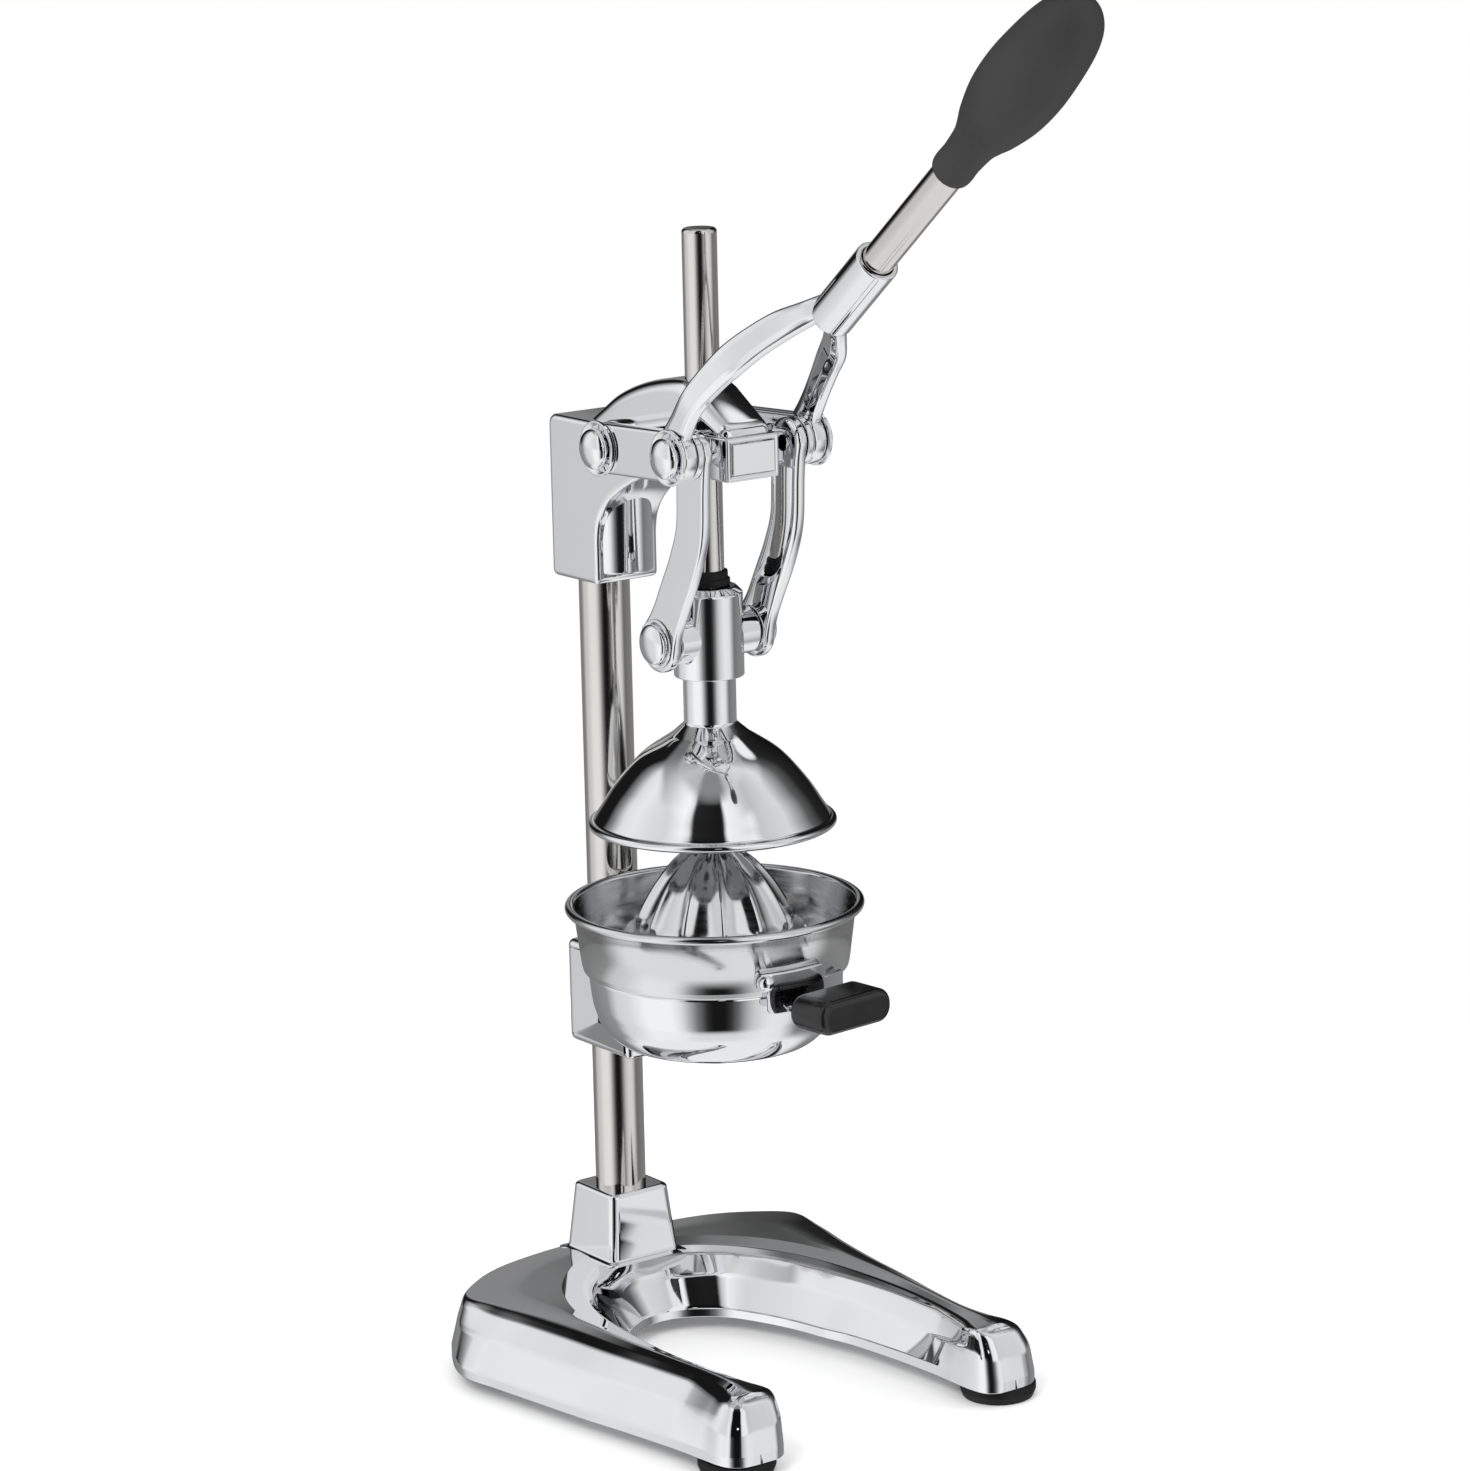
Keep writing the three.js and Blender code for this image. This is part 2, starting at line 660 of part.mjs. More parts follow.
const sides = [['left', -1], ['right', 1]];

function addPins() {
  for (const [word, side] of sides) {
    const washerFrom = armOuter + fitGap;
    const washerTo = washerFrom + washerThickness;
    addPin(`lever_pin_${word}`, side, outerHeadBase, armInner - pinDepth + fitGap,
      leverPivotSetback, leverPivotHeight);
    addWasher(`lever_pin_washer_${word}`, side, washerRadius, washerFrom, washerTo,
      leverPivotSetback, leverPivotHeight);
    addPin(`link_pin_${word}`, side, outerHeadBase, linkInner, -linkPivotReach, linkPivotHeight);
    addWasher(`link_pin_washer_${word}`, side, washerRadius, washerFrom, washerTo,
      -linkPivotReach, linkPivotHeight);
    addWasher(`link_spacer_${word}`, side, smallWasherRadius, linkOuter + fitGap, armInner - fitGap,
      -linkPivotReach, linkPivotHeight);
    addPin(`cross_pin_${word}`, side, crossHeadBase, linkInner, 0, crossPivotHeight, crossPinHeadHeight);
    addWasher(`cross_pin_washer_${word}`, side, smallWasherRadius, linkOuter + fitGap,
      linkOuter + fitGap + smallWasherThickness, 0, crossPivotHeight);
  }
}

// The lever's own frame: Z runs up the lever, Y is square to it, and the origin is abreast of the link pin
const leverFrame = new THREE.Matrix4().makeRotationX(Math.PI / 2 - leverAngle).setPosition(
  0,
  -linkPivotReach + leverAxisLift * Math.sin(leverAngle),
  linkPivotHeight + leverAxisLift * Math.cos(leverAngle));

function forkArms() {
  const middle = armInner + armThickness / 2;
  const centres = armShares.map(([wide, along]) => new THREE.Vector2(wide * middle, along * forkLength));
  const section = (i, side) => {
    const before = centres[Math.max(i - 1, 0)];
    const after = centres[Math.min(i + 1, centres.length - 1)];
    const outward = new THREE.Vector2(after.y - before.y, before.x - after.x).normalize();
    if (i === centres.length - 1) outward.set(0, 1);
    const [high, low] = [armShares[i][2] * forkRise, armShares[i][3] * forkRise];
    const half = armThickness / 2;
    const corner = (out, up) => new THREE.Vector3(
      side * (centres[i].x + outward.x * out), up, centres[i].y + outward.y * out);
    return [
      corner(half - armBevel, high), corner(half, high - armBevel), corner(half, low + armBevel),
      corner(half - armBevel, low), corner(armBevel - half, low), corner(-half, low + armBevel),
      corner(-half, high - armBevel), corner(armBevel - half, high),
    ];
  };
  const right = centres.map((_, i) => section(i, 1));
  const left = centres.slice(0, -1).map((_, i) => section(i, -1)).reverse();
  return loft([...right, ...left]).applyMatrix4(leverFrame);
}

// One side bar of the yoke, from the link pin back to the lever pin, with round ends
function yokeBar(side) {
  const run = new THREE.Vector2(linkPivotReach + leverPivotSetback, leverPivotHeight - linkPivotHeight);
  const shape = new THREE.Shape();
  shape.absarc(run.length(), 0, armRadius, -Math.PI / 2, Math.PI / 2);
  shape.absarc(0, 0, armRadius, Math.PI / 2, 1.5 * Math.PI);
  const [from, to] = side > 0 ? [armInner, armOuter] : [-armOuter, -armInner];
  return sideExtrusion(shape, from, to).rotateX(run.angle())
    .translate(0, -linkPivotReach, linkPivotHeight);
}

function addLever() {
  const socket = disc(socketRadius, forkLength - armThickness / 2, socketEnd, barSides);
  const bore = disc(leverRodRadius + fitGap, socketFloor, socketEnd + cutOverrun, barSides);
  const pivots = [[leverPivotSetback, leverPivotHeight], [-linkPivotReach, linkPivotHeight]];
  const reach = armOuter + cutOverrun;
  const holes = pivots.map(([setback, height]) => crossDisc(
    pinRadius + fitGap, -reach, reach, setback, height));
  const fork = joined(forkArms(), socket.applyMatrix4(leverFrame), yokeBar(-1), yokeBar(1));
  addPiece('lever_yoke', cut(fork, bore.applyMatrix4(leverFrame), ...holes), chrome());

  const rodEnd = gripStart + leverRodInGrip;
  const rod = disc(leverRodRadius, socketFloor + fitGap, rodEnd, barSides);
  addPiece('lever_rod', rod.applyMatrix4(leverFrame), steel());
  const bored = leverRodRadius + fitGap;
  const boreEnd = rodEnd + fitGap;
  const outside = gripShares.map(([along, wide]) => [wide * gripRadius, gripStart + along * gripLength]);
  const grip = turned([[0, boreEnd], [bored, boreEnd], [bored, gripStart], ...outside], barSides);
  addPiece('lever_grip', grip.applyMatrix4(leverFrame), softGrip());
}

function addLinks() {
  const top = new THREE.Vector2(-linkPivotReach, linkPivotHeight);
  const bottom = new THREE.Vector2(0, crossPivotHeight);
  const run = bottom.clone().sub(top);
  const length = run.length();
  const along = run.clone().normalize();
  const forward = new THREE.Vector2(along.y, -along.x);
  const bends = linkBendShares.map(([down, out]) => top.clone()
    .addScaledVector(along, down * length).addScaledVector(forward, out * length));
  const line = new THREE.SplineCurve([top, ...bends, bottom]);
  const edge = (side) => Array.from({ length: curveSteps + 1 }, (_, i) => {
    const tangent = line.getTangent(i / curveSteps);
    return line.getPoint(i / curveSteps).add(
      new THREE.Vector2(tangent.y, -tangent.x).multiplyScalar(side * linkHalfWidth));
  });
  const plate = new THREE.Shape([...edge(1), ...edge(-1).reverse()]);
  for (const [word, side] of sides) {
    const [from, to] = side > 0 ? [linkInner, linkOuter] : [-linkOuter, -linkInner];
    const body = joined(
      sideExtrusion(plate, from, to),
      crossDisc(linkEyeRadius, from, to, top.x, top.y, barSides),
      crossDisc(linkFootRadius, from, to, bottom.x, bottom.y, barSides));
    const holes = [top, bottom].map((place) => crossDisc(
      pinRadius + fitGap, from - cutOverrun, to + cutOverrun, place.x, place.y));
    addPiece(`link_${word}`, cut(body, ...holes), chrome());
  }
}

function addRam() {
  const rodBottom = domeNeckTop - rodSeatDepth + fitGap;
  addPiece('guide_rod', turned([
    [0, rodBottom], [rodRadius, rodBottom], [rodRadius, rodTop - rodTipRound],
    [rodRadius - rodTipRound, rodTop], [0, rodTop],
  ], barSides), steel());
  const bore = rodRadius + fitGap;
  const bumperBottom = crossheadTop + fitGap;
  addPiece('bumper_ring', ring(bore, bumperRadius, bumperBottom, bumperBottom + bumperHeight, barSides),
    rubber());
  const body = turned([
    [0, crossheadBottom], [crossheadRadius, crossheadBottom],
    [crossheadRadius, crossheadTop - crossheadChamfer], [crossheadRadius - crossheadChamfer, crossheadTop],
    [0, crossheadTop],
  ], bigSides);
  const bosses = crossDisc(crossBossRadius, fitGap - linkInner, linkInner - fitGap, 0, crossPivotHeight,
    barSides);
  const rodHole = disc(bore, crossheadBottom - cutOverrun, crossheadTop + cutOverrun, barSides);
  const screwHole = depthDisc(
    setScrewRadius + fitGap, rodRadius, crossheadRadius + cutOverrun, crossScrewHeight);
  addPiece('crosshead', cut(joined(body, bosses), rodHole, screwHole), chrome());
  addSetScrew('crosshead_set_screw', rodRadius, crossheadRadius, crossScrewHeight);
}

function addDome() {
  const rise = domeNeckTop - domeRimHeight;
  const outside = domeShares.map(([wide, up]) => [wide * domeRadius, domeRimHeight + up * rise]);
  const inside = offsetLine(outside, domeWall).slice(0, -1).reverse();
  const roof = domeNeckTop - rodSeatDepth - domeRoof;
  const bore = rodRadius + fitGap;
  const neckFoot = outside[outside.length - 1][1] + domeNeckFlare;
  addPiece('press_dome', turned([
    [0, roof], [inside[0][0] - domeRoof, roof], ...inside.filter(([, height]) => height < roof),
    [domeRadius - 2 * domeBead, domeRimHeight], [domeRadius - domeBead, domeRimHeight - domeBead],
    [domeRadius, domeRimHeight], ...outside, [domeNeckRadius, neckFoot], [domeNeckRadius, domeNeckTop],
    [bore, domeNeckTop], [bore, domeNeckTop - rodSeatDepth], [0, domeNeckTop - rodSeatDepth],
  ], bigSides), chrome());
}

function cupOutside() {
  return cupShares.map(([wide, up]) => [wide * cupRadius, cupTop - cupDepth + up * cupDepth]);
}

function addHolder() {
  const outside = [[cupOutletRadius, cupTop - cupDepth], ...cupOutside()];
  const inside = offsetLine(outside, cupWall).reverse();
  inside[0][1] = cupTop;
  inside[inside.length - 1][0] = cupOutletRadius;
  const cup = turned([...outside, ...inside, outside[0]], bigSides);
  const clamp = sideExtrusion(new THREE.Shape([
    new THREE.Vector2(clampReach, clampBottom), new THREE.Vector2(clampBack, clampBottom),
    new THREE.Vector2(clampBack, clampTop), new THREE.Vector2(clampReach, clampTop),
  ]), -clampHalfWidth, clampHalfWidth, clampRound);
  const hollow = turned([
    [0, clampBottom - cutOverrun], [cupOutside()[0][0], clampBottom - cutOverrun],
    [cupOutside()[0][0], cupTop - cupDepth + cupWall / 2],
    ...offsetLine(cupOutside(), cupWall / 2).slice(1), [cupRadius - cupWall / 2, cupTop + cutOverrun],
    [0, cupTop + cutOverrun],
  ], bigSides);
  const bore = disc(columnRadius + fitGap, clampBottom - cutOverrun, clampTop + cutOverrun, bigSides)
    .translate(0, columnSetback, 0);
  const screwHole = depthDisc(
    setScrewRadius + fitGap, columnSetback, clampBack + cutOverrun, holderScrewHeight);
  addPiece('bowl_holder', cut(joined(cup, cut(clamp, hollow)), bore, screwHole), chrome());
  addSetScrew('holder_set_screw', columnSetback + columnRadius, clampBack, holderScrewHeight);
}

const handleGroup = new THREE.Group();
handleGroup.rotation.z = THREE.MathUtils.degToRad(handleTurn);

function bowlRadiusAt(height) {
  const share = (height - ledgeHeight - bowlLedgeRise) / (bowlRimHeight - ledgeHeight - bowlLedgeRise);
  return bowlLedgeRadius + share * (bowlMouthRadius - bowlLedgeRadius);
}

function bowlOutside() {
  const nest = offsetLine(cupOutside(), bowlFloorGap);
  nest[nest.length - 1] = [cupRadius - bowlFloorGap, ledgeHeight];
  return [
    [spoutRadius, spoutBottom], [spoutRadius, nest[0][1] - bowlSeatGap],
    ...nest, [bowlLedgeRadius - bowlWall / 2, ledgeHeight], [bowlLedgeRadius, ledgeHeight + bowlLedgeRise],
    [bowlMouthRadius, bowlRimHeight - bowlBead],
  ];
}

function addBowl() {
  const outside = bowlOutside();
  const inside = offsetLine(outside, bowlWall).reverse();
  inside[inside.length - 1][1] = spoutBottom;
  const rim = [
    [bowlRimRadius - bowlBead / 2, bowlRimHeight - bowlBead], [bowlRimRadius, bowlRimHeight],
    [bowlRimRadius - bowlBead / 2, bowlRimHeight + bowlBead / 2],
    [bowlMouthRadius, bowlRimHeight + bowlBead / 2],
  ];
  const bowl = turned([...outside, ...rim, ...inside, outside[0]], bigSides);
  const hole = rivetDisc(bowlLedgeRadius - cutOverrun - bowlWall, bowlMouthRadius + cutOverrun)
    .rotateZ(THREE.MathUtils.degToRad(handleTurn));
  addPiece('juice_bowl', cut(bowl, hole), steel());
}

// A hole for the rivet, whose axis points out of the bowl wall, in the handle's own frame
function rivetDisc(from, to) {
  return placeAtRivet(disc(rivetRadius + fitGap, from, to, pinSides));
}

function placeAtRivet(geometry) {
  const rivetHeight = strapBottom + strapHeight / 2;
  return geometry.rotateX(Math.PI / 2).rotateZ(THREE.MathUtils.degToRad(rivetAngle))
    .translate(0, 0, rivetHeight);
}

// A band about the bowl axis between two turns from the handle's middle
function aroundBowl(inner, outer, start, end, bottom, height) {
  const [from, to] = [start, end].map((turn) => THREE.MathUtils.degToRad(turn) - Math.PI / 2);
  const band = new THREE.Shape();
  band.absarc(0, 0, outer, from, to, false);
  band.absarc(0, 0, inner, to, from, true);
  band.closePath();
  return new THREE.ExtrudeGeometry(band, {
    depth: height, bevelEnabled: false, curveSegments: bigSides / 4, steps: 1,
  }).translate(0, 0, bottom);
}

function addHandle() {
  press.add(handleGroup);
  const strapTop = strapBottom + strapHeight;
  const strapInner = bowlRadiusAt(strapTop) + fitGap;
  const strapOuter = strapInner + strapThickness;
  const strap = aroundBowl(strapInner, strapOuter, strapStart, strapEnd, strapBottom, strapHeight);
  const tangBottom = strapBottom - tangDrop;
  const tangTop = tangBottom + tangThickness;
  const apron = aroundBowl(strapInner, strapOuter, -apronHalfAngle, apronHalfAngle,
    tangBottom, tangDrop + strapThickness);
  const tang = box(
    -tangHalfWidth, tangHalfWidth, -tangReach, strapThickness - strapInner, tangBottom, tangTop);
  const hole = rivetDisc(strapInner - cutOverrun, strapOuter + cutOverrun);
  const inside = disc(
    strapInner + strapThickness / 2, tangBottom - cutOverrun, tangTop + cutOverrun, bigSides);
  addPiece('handle_bracket', cut(joined(strap, apron, cut(tang, inside)), hole), chrome(), handleGroup);

  const padDepth = gripPadReach - gripPadInner;
  const outline = roundedRectangle(gripPadWidth / 2, gripPadHeight / 2, gripPadEnd);
  const pad = new THREE.ExtrudeGeometry(outline, {
    depth: padDepth - 2 * gripPadRound, steps: 1, curveSegments: padCornerSteps,
    bevelEnabled: true, bevelThickness: gripPadRound, bevelSize: gripPadRound,
    bevelOffset: -gripPadRound, bevelSegments: padEdgeSteps,
  }).rotateX(Math.PI / 2).translate(0, -gripPadInner - gripPadRound, gripPadBottom + gripPadHeight / 2);
  const slot = box(-tangHalfWidth - fitGap, tangHalfWidth + fitGap, -tangReach - fitGap,
    -gripPadInner + cutOverrun, tangBottom - fitGap, tangTop + fitGap);
  addPiece('handle_grip', cut(pad, slot), padPlastic(), handleGroup);

  const rivetHeight = strapBottom + strapHeight / 2;
  const tailBase = bowlRadiusAt(rivetHeight) - bowlWall - 2 * fitGap;
  const base = strapOuter + fitGap;
  const rivet = turned([
    [0, tailBase - rivetTailHeight], [rivetTailRadius, tailBase - rivetTailHeight],
    [rivetTailRadius, tailBase], [rivetRadius, tailBase], [rivetRadius, base],
    [rivetHeadRadius, base],
    [rivetHeadRadius * rivetHeadShares[0], base + rivetHeadHeight * rivetHeadShares[1]],
    [0, base + rivetHeadHeight],
  ], pinSides);
  addPiece('handle_rivet', placeAtRivet(rivet), chrome(), handleGroup);
}

function addStrainer() {
  const rimRadius = bowlLedgeRadius - bowlWall - 2 * fitGap;
  const top = strainerSeat + strainerRise;
  const wall = strainerThickness;
  const foot = cupRadius - bowlFloorGap - bowlWall;
  const outside = [[rimRadius, strainerSeat + wall], [foot, strainerSeat + wall],
    [strainerDomeRadius, top], [reamerPegRadius + fitGap, top]];
  const inside = outside.map(([radius, height]) => [radius, height - wall]).reverse();
  const plate = turned([...inside, ...outside, inside[0]], bigSides);
  const slots = Array.from({ length: strainerSlots }, (_, i) => box(
    -strainerSlotWidth / 2, strainerSlotWidth / 2, strainerDomeRadius + wall, foot - wall,
    strainerSeat - cutOverrun, top + cutOverrun).rotateZ((2 * Math.PI * i) / strainerSlots));
  addPiece('strainer_plate', cut(plate, ...slots), steel());

  const seat = top + fitGap;
  const points = reamerRibs * reamerStepsPerRib;
  const level = (wide, up) => Array.from({ length: points }, (_, i) => {
    const turn = (2 * Math.PI * i) / points;
    const fade = up > 0 ? Math.min(1, reamerRibFade * wide) : 0;
    const rib = reamerRibDepth * Math.cos(reamerRibs * turn) * fade;
    const radius = wide * reamerRadius - reamerRibDepth + rib;
    return new THREE.Vector3(radius * Math.cos(turn), radius * Math.sin(turn), seat + up * reamerHeight);
  });
  const cone = loft(reamerShares.map(([wide, up]) => level(wide, up)));
  const peg = disc(reamerPegRadius, seat - reamerPegLength, seat + reamerPegLength, barSides);
  addPiece('reamer_cone', joined(cone, peg), steel());
}

addBase();
addFeet();
addColumn();
addHead();
addPins();
addLever();
addLinks();
addRam();
addDome();
addHolder();
addBowl();
addHandle();
addStrainer();

// The origin goes to the middle of the footprint, on the surface that the press stands on
press.updateMatrixWorld(true);
const bounds = new THREE.Box3().setFromObject(press, true);
const middle = bounds.getCenter(new THREE.Vector3());
press.position.set(-middle.x, -middle.y, -bounds.min.z);

export default press;
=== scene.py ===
import math

import bpy
import bmesh
import numpy as np
from mathutils import Matrix, Vector
from mathutils.geometry import tessellate_polygon


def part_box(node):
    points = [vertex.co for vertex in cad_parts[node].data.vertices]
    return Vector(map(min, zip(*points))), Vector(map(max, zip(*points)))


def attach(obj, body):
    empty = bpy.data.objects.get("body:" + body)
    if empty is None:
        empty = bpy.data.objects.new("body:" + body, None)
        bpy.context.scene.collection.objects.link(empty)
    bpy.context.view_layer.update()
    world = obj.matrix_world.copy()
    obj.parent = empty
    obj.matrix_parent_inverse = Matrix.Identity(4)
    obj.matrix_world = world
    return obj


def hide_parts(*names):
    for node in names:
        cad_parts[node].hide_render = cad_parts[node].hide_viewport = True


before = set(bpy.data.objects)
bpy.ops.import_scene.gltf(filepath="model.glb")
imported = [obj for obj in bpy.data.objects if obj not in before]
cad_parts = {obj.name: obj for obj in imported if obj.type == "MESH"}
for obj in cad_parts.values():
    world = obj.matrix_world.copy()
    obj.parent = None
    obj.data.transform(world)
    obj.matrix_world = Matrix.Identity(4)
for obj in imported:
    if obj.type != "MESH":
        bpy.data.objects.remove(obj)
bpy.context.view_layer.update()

# Studio: a pale floor, a soft white tent around the press and the camera in the slot of the tent.
# The tent is open behind the press, so chrome shows dark bands near its outlines.
MM = 0.001
rod_low, rod_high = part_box("guide_rod")
AXIS_Y = (rod_low[1] + rod_high[1]) / 2 / MM

view_turn, view_rise, view_roll = (math.radians(v) for v in (-36.22, 12.91, -1.26))
back = np.array([math.sin(view_turn) * math.cos(view_rise), -math.cos(view_turn) * math.cos(view_rise),
                 math.sin(view_rise)])
right = np.array([math.cos(view_turn), math.sin(view_turn), 0.0])
up = np.cross(back, right)
across = right * math.cos(view_roll) + up * math.sin(view_roll)
upward = up * math.cos(view_roll) - right * math.sin(view_roll)
camera_data = bpy.data.cameras.new("camera")
camera_data.lens = 119.8
camera_data.sensor_width = 36
camera_data.clip_end = 30
camera = bpy.data.objects.new("camera", camera_data)
camera_place = (np.array([11.95, AXIS_Y, 262.46]) + back * 1950.1) * MM
camera.matrix_world = Matrix.Translation(camera_place) @ Matrix(np.stack([across, upward, back], 1)).to_4x4()
bpy.context.scene.collection.objects.link(camera)
bpy.context.scene.camera = camera
bpy.context.scene.view_settings.view_transform = "Standard"


class Shade:
    """A number, colour or vector in one node tree: + and / add Math nodes, node() adds any other node."""

    def __init__(self, tree, socket=None):
        self.tree = tree
        self.socket = socket

    def node(self, kind, settings=None, inputs=None, output=0):
        """Adds a node: its settings first (stops fill a ramp), then the values or links of its sockets."""
        made = self.tree.nodes.new(kind)
        for key, value in (settings or {}).items():
            if key == "stops":
                ramp = made.color_ramp
                for place, colour in value[1:-1]:
                    ramp.elements.new(place)
                for element, (place, colour) in zip(ramp.elements, value):
                    element.position = place
                    element.color = (*colour, 1)
            else:
                setattr(made, key, value)
        for key, value in (inputs or {}).items():
            if isinstance(value, Shade):
                self.tree.links.new(value.socket, made.inputs[key])
            else:
                made.inputs[key].default_value = value
        return Shade(self.tree, made.outputs[output])

    def maths(self, operation, *values):
        return self.node("ShaderNodeMath", {"operation": operation}, dict(enumerate(values)))

    def __add__(self, other):
        return self.maths("ADD", self, other)

    def __truediv__(self, other):
        return self.maths("DIVIDE", self, other)

    def band(self, low, high, start=0.0, end=1.0):
        """A smooth step of this value from start at low to end at high, which may be the lower of the two."""
        return self.node("ShaderNodeMapRange", {"interpolation_type": "SMOOTHSTEP"},
                         {0: self, 1: low, 2: high, 3: start, 4: end})

    def noise(self, scale, detail):
        """A noise over these coordinates."""
        return self.node("ShaderNodeTexNoise", None, {"Vector": self, "Scale": scale, "Detail": detail})

    def mix(self, first, second):
        """The first colour where this value is 0, the second where it is 1."""
        return self.node("ShaderNodeMix", {"data_type": "RGBA"}, {0: self, 6: first, 7: second}, 2)

    def bump(self, strength, distance=0.0001):
        """A surface normal, tilted as if this value were a height."""
        return self.node("ShaderNodeBump", None, {"Strength": strength, "Distance": distance, "Height": self})


world = bpy.data.worlds.new("tent")
bpy.context.scene.world = world
world.use_nodes = True
world.node_tree.nodes.clear()
sky = Shade(world.node_tree)
ray = sky.node("ShaderNodeTexCoord", output="Generated")
flat_back = np.array([back[0], back[1], 0]) / math.hypot(back[0], back[1])


def facing(direction):
    """How far a ray of the tent points along a direction: the cosine of the angle between them."""
    return sky.node("ShaderNodeVectorMath", {"operation": "DOT_PRODUCT"}, {0: ray, 1: tuple(direction)}, "Value")


def tent(stops):
    """A grey all round the press, from (turn, brightness) stops: degrees, 0 towards the camera."""
    return turn.node("ShaderNodeValToRGB", {"stops": [((a + 180) / 360, (v, v, v)) for a, v in stops]}, {0: turn})


height = facing((0, 0, 1))
turn = sky.maths("ARCTAN2", facing(right), facing(flat_back)) / (2 * math.pi) + 0.5
below = tent([(-180, .2), (-147, .25), (-122, .32), (-107, .74), (-90, .82), (-70, 1.05), (-44, 1.05),
              (-34, .85), (-26, .5), (-18, .2), (-9, .03), (-3, .01), (8, .01), (14, .04), (21, .16), (28, .42),
              (36, .68), (45, .82), (54, .93), (64, .9), (72, .86), (82, .5), (92, .2), (112, .25),
              (147, .28), (180, .2)])
level_with = tent([(-180, .08), (-178, .24), (-168, .3), (-162, .1), (-157, .01), (-134, .01), (-123, .3),
                   (-112, .85), (-98, .95), (-80, .85), (-60, .78), (-38, 1), (-30, .6), (-25, .006),
                   (14, .006), (20, .95), (50, 1), (60, .66), (92, .8), (107, .42), (121, .12), (137, .02),
                   (168, .005), (176, .02), (180, .08)])
cone = tent([(-180, .3), (-160, .1), (-145, .12), (-125, .25), (-100, .42), (-80, .62), (-60, .88),
             (-40, 1.1), (-31, .9), (-26, .02), (14, .01), (19, 1.05), (35, .95), (50, .68), (60, .6),
             (80, .72), (95, .85), (110, .55), (125, .15), (150, .03), (180, .3)])
above = tent([(-180, .75), (-140, .5), (-110, .45), (-70, .6), (-35, .55), (-22, .28), (20, .28), (32, .55),
              (60, .75), (90, .8), (120, .45), (150, .5), (180, .75)])
lit = below
for low, high, part in ((-.14, .0, level_with), (.70, .78, cone), (.86, .91, above),
                        (-.6, -.8, (.95, .95, .95, 1))):
    lit = height.band(low, high).mix(lit, part)
lamp_turn, lamp_rise = math.radians(5), math.radians(18)
lamp_flat = (flat_back * math.cos(lamp_turn) + right * math.sin(lamp_turn)) * math.cos(lamp_rise)
lamp_aim = (lamp_flat[0], lamp_flat[1], math.sin(lamp_rise))
slope_aim = (.576, .133, .805)
lit = facing(lamp_aim).band(.9975, .999).mix(lit, (1.2, 1.2, 1.2, 1))
lit = facing(slope_aim).band(.987, .996).mix(lit, (1.0, 1.0, 1.0, 1))
glossy = sky.node("ShaderNodeBackground", None, {0: lit, 1: 1.0})
even = sky.node("ShaderNodeBackground", None, {0: (1, 1, 1, 1), 1: 1.16})
seen = sky.node("ShaderNodeBackground", None, {0: (1, 1, 1, 1), 1: 1.0})
path = world.node_tree.nodes.new("ShaderNodeLightPath")
is_diffuse = Shade(world.node_tree, path.outputs["Is Diffuse Ray"])
is_camera = Shade(world.node_tree, path.outputs["Is Camera Ray"])
shown = sky.node("ShaderNodeMixShader", None, {0: is_diffuse, 1: glossy, 2: even})
shown = sky.node("ShaderNodeMixShader", None, {0: is_camera, 1: shown, 2: seen})
world.node_tree.links.new(shown.socket, world.node_tree.nodes.new("ShaderNodeOutputWorld").inputs[0])


def new_material(name, metallic=0.0):
    """A material with its surface shader: returns it, the shader node and the object's coordinates as a Shade."""
    material = bpy.data.materials.new(name)
    material.use_nodes = True
    shader = material.node_tree.nodes["Principled BSDF"]
    shader.inputs["Metallic"].default_value = metallic
    return material, shader, Shade(material.node_tree).node("ShaderNodeTexCoord", output="Object")


def feed(shader, shade, socket):
    shade.tree.links.new(shade.socket, shader.inputs[socket])


paper, shader, where = new_material("floor_paper")
feed(shader, where.noise(6.0, 3.0).mix((.93, .93, .93, 1), (.96, .96, .96, 1)), "Base Color")
shader.inputs["Roughness"].default_value = 0.9


def skin(grid, along=False, capped=False):
    """Faces over a rows x columns x 3 grid whose rows are closed rings: a quad in each cell. The last row joins
    the first if along, and each open end gets a flat face if capped."""
    rows, columns = grid.shape[:2]
    numbers = np.arange(rows * columns).reshape(rows, columns)
    numbers = np.hstack([numbers, numbers[:, :1]])
    if along:
        numbers = np.vstack([numbers, numbers[:1]])
    corners = [numbers[:-1, :-1], numbers[:-1, 1:], numbers[1:, 1:], numbers[1:, :-1]]
    faces = np.stack(corners, -1).reshape(-1, 4).tolist()
    if capped:
        for first, ring in ((0, grid[0]), ((rows - 1) * columns, grid[-1])):
            faces += [[first + i for i in corner] for corner in tessellate_polygon([[Vector(p) for p in ring]])]
    return grid.reshape(-1, 3), faces


def add_mesh(name, *skins):
    """One object from skins in millimetres about the rod axis: joined corners, faces turned outward, smooth."""
    bm = bmesh.new()
    for points, faces in skins:
        mesh = bpy.data.meshes.new("part")
        mesh.from_pydata(((points + np.array([0, AXIS_Y, 0])) * MM).tolist(), [], faces)
        bm.from_mesh(mesh)
        bpy.data.meshes.remove(mesh)
    bmesh.ops.remove_doubles(bm, verts=bm.verts, dist=2e-6)
    bmesh.ops.recalc_face_normals(bm, faces=bm.faces)
    mesh = bpy.data.meshes.new(name)
    bm.to_mesh(mesh)
    bm.free()
    mesh.polygons.foreach_set("use_smooth", np.ones(len(mesh.polygons), bool))
    thing = bpy.data.objects.new(name, mesh)
    bpy.context.scene.collection.objects.link(thing)
    return thing


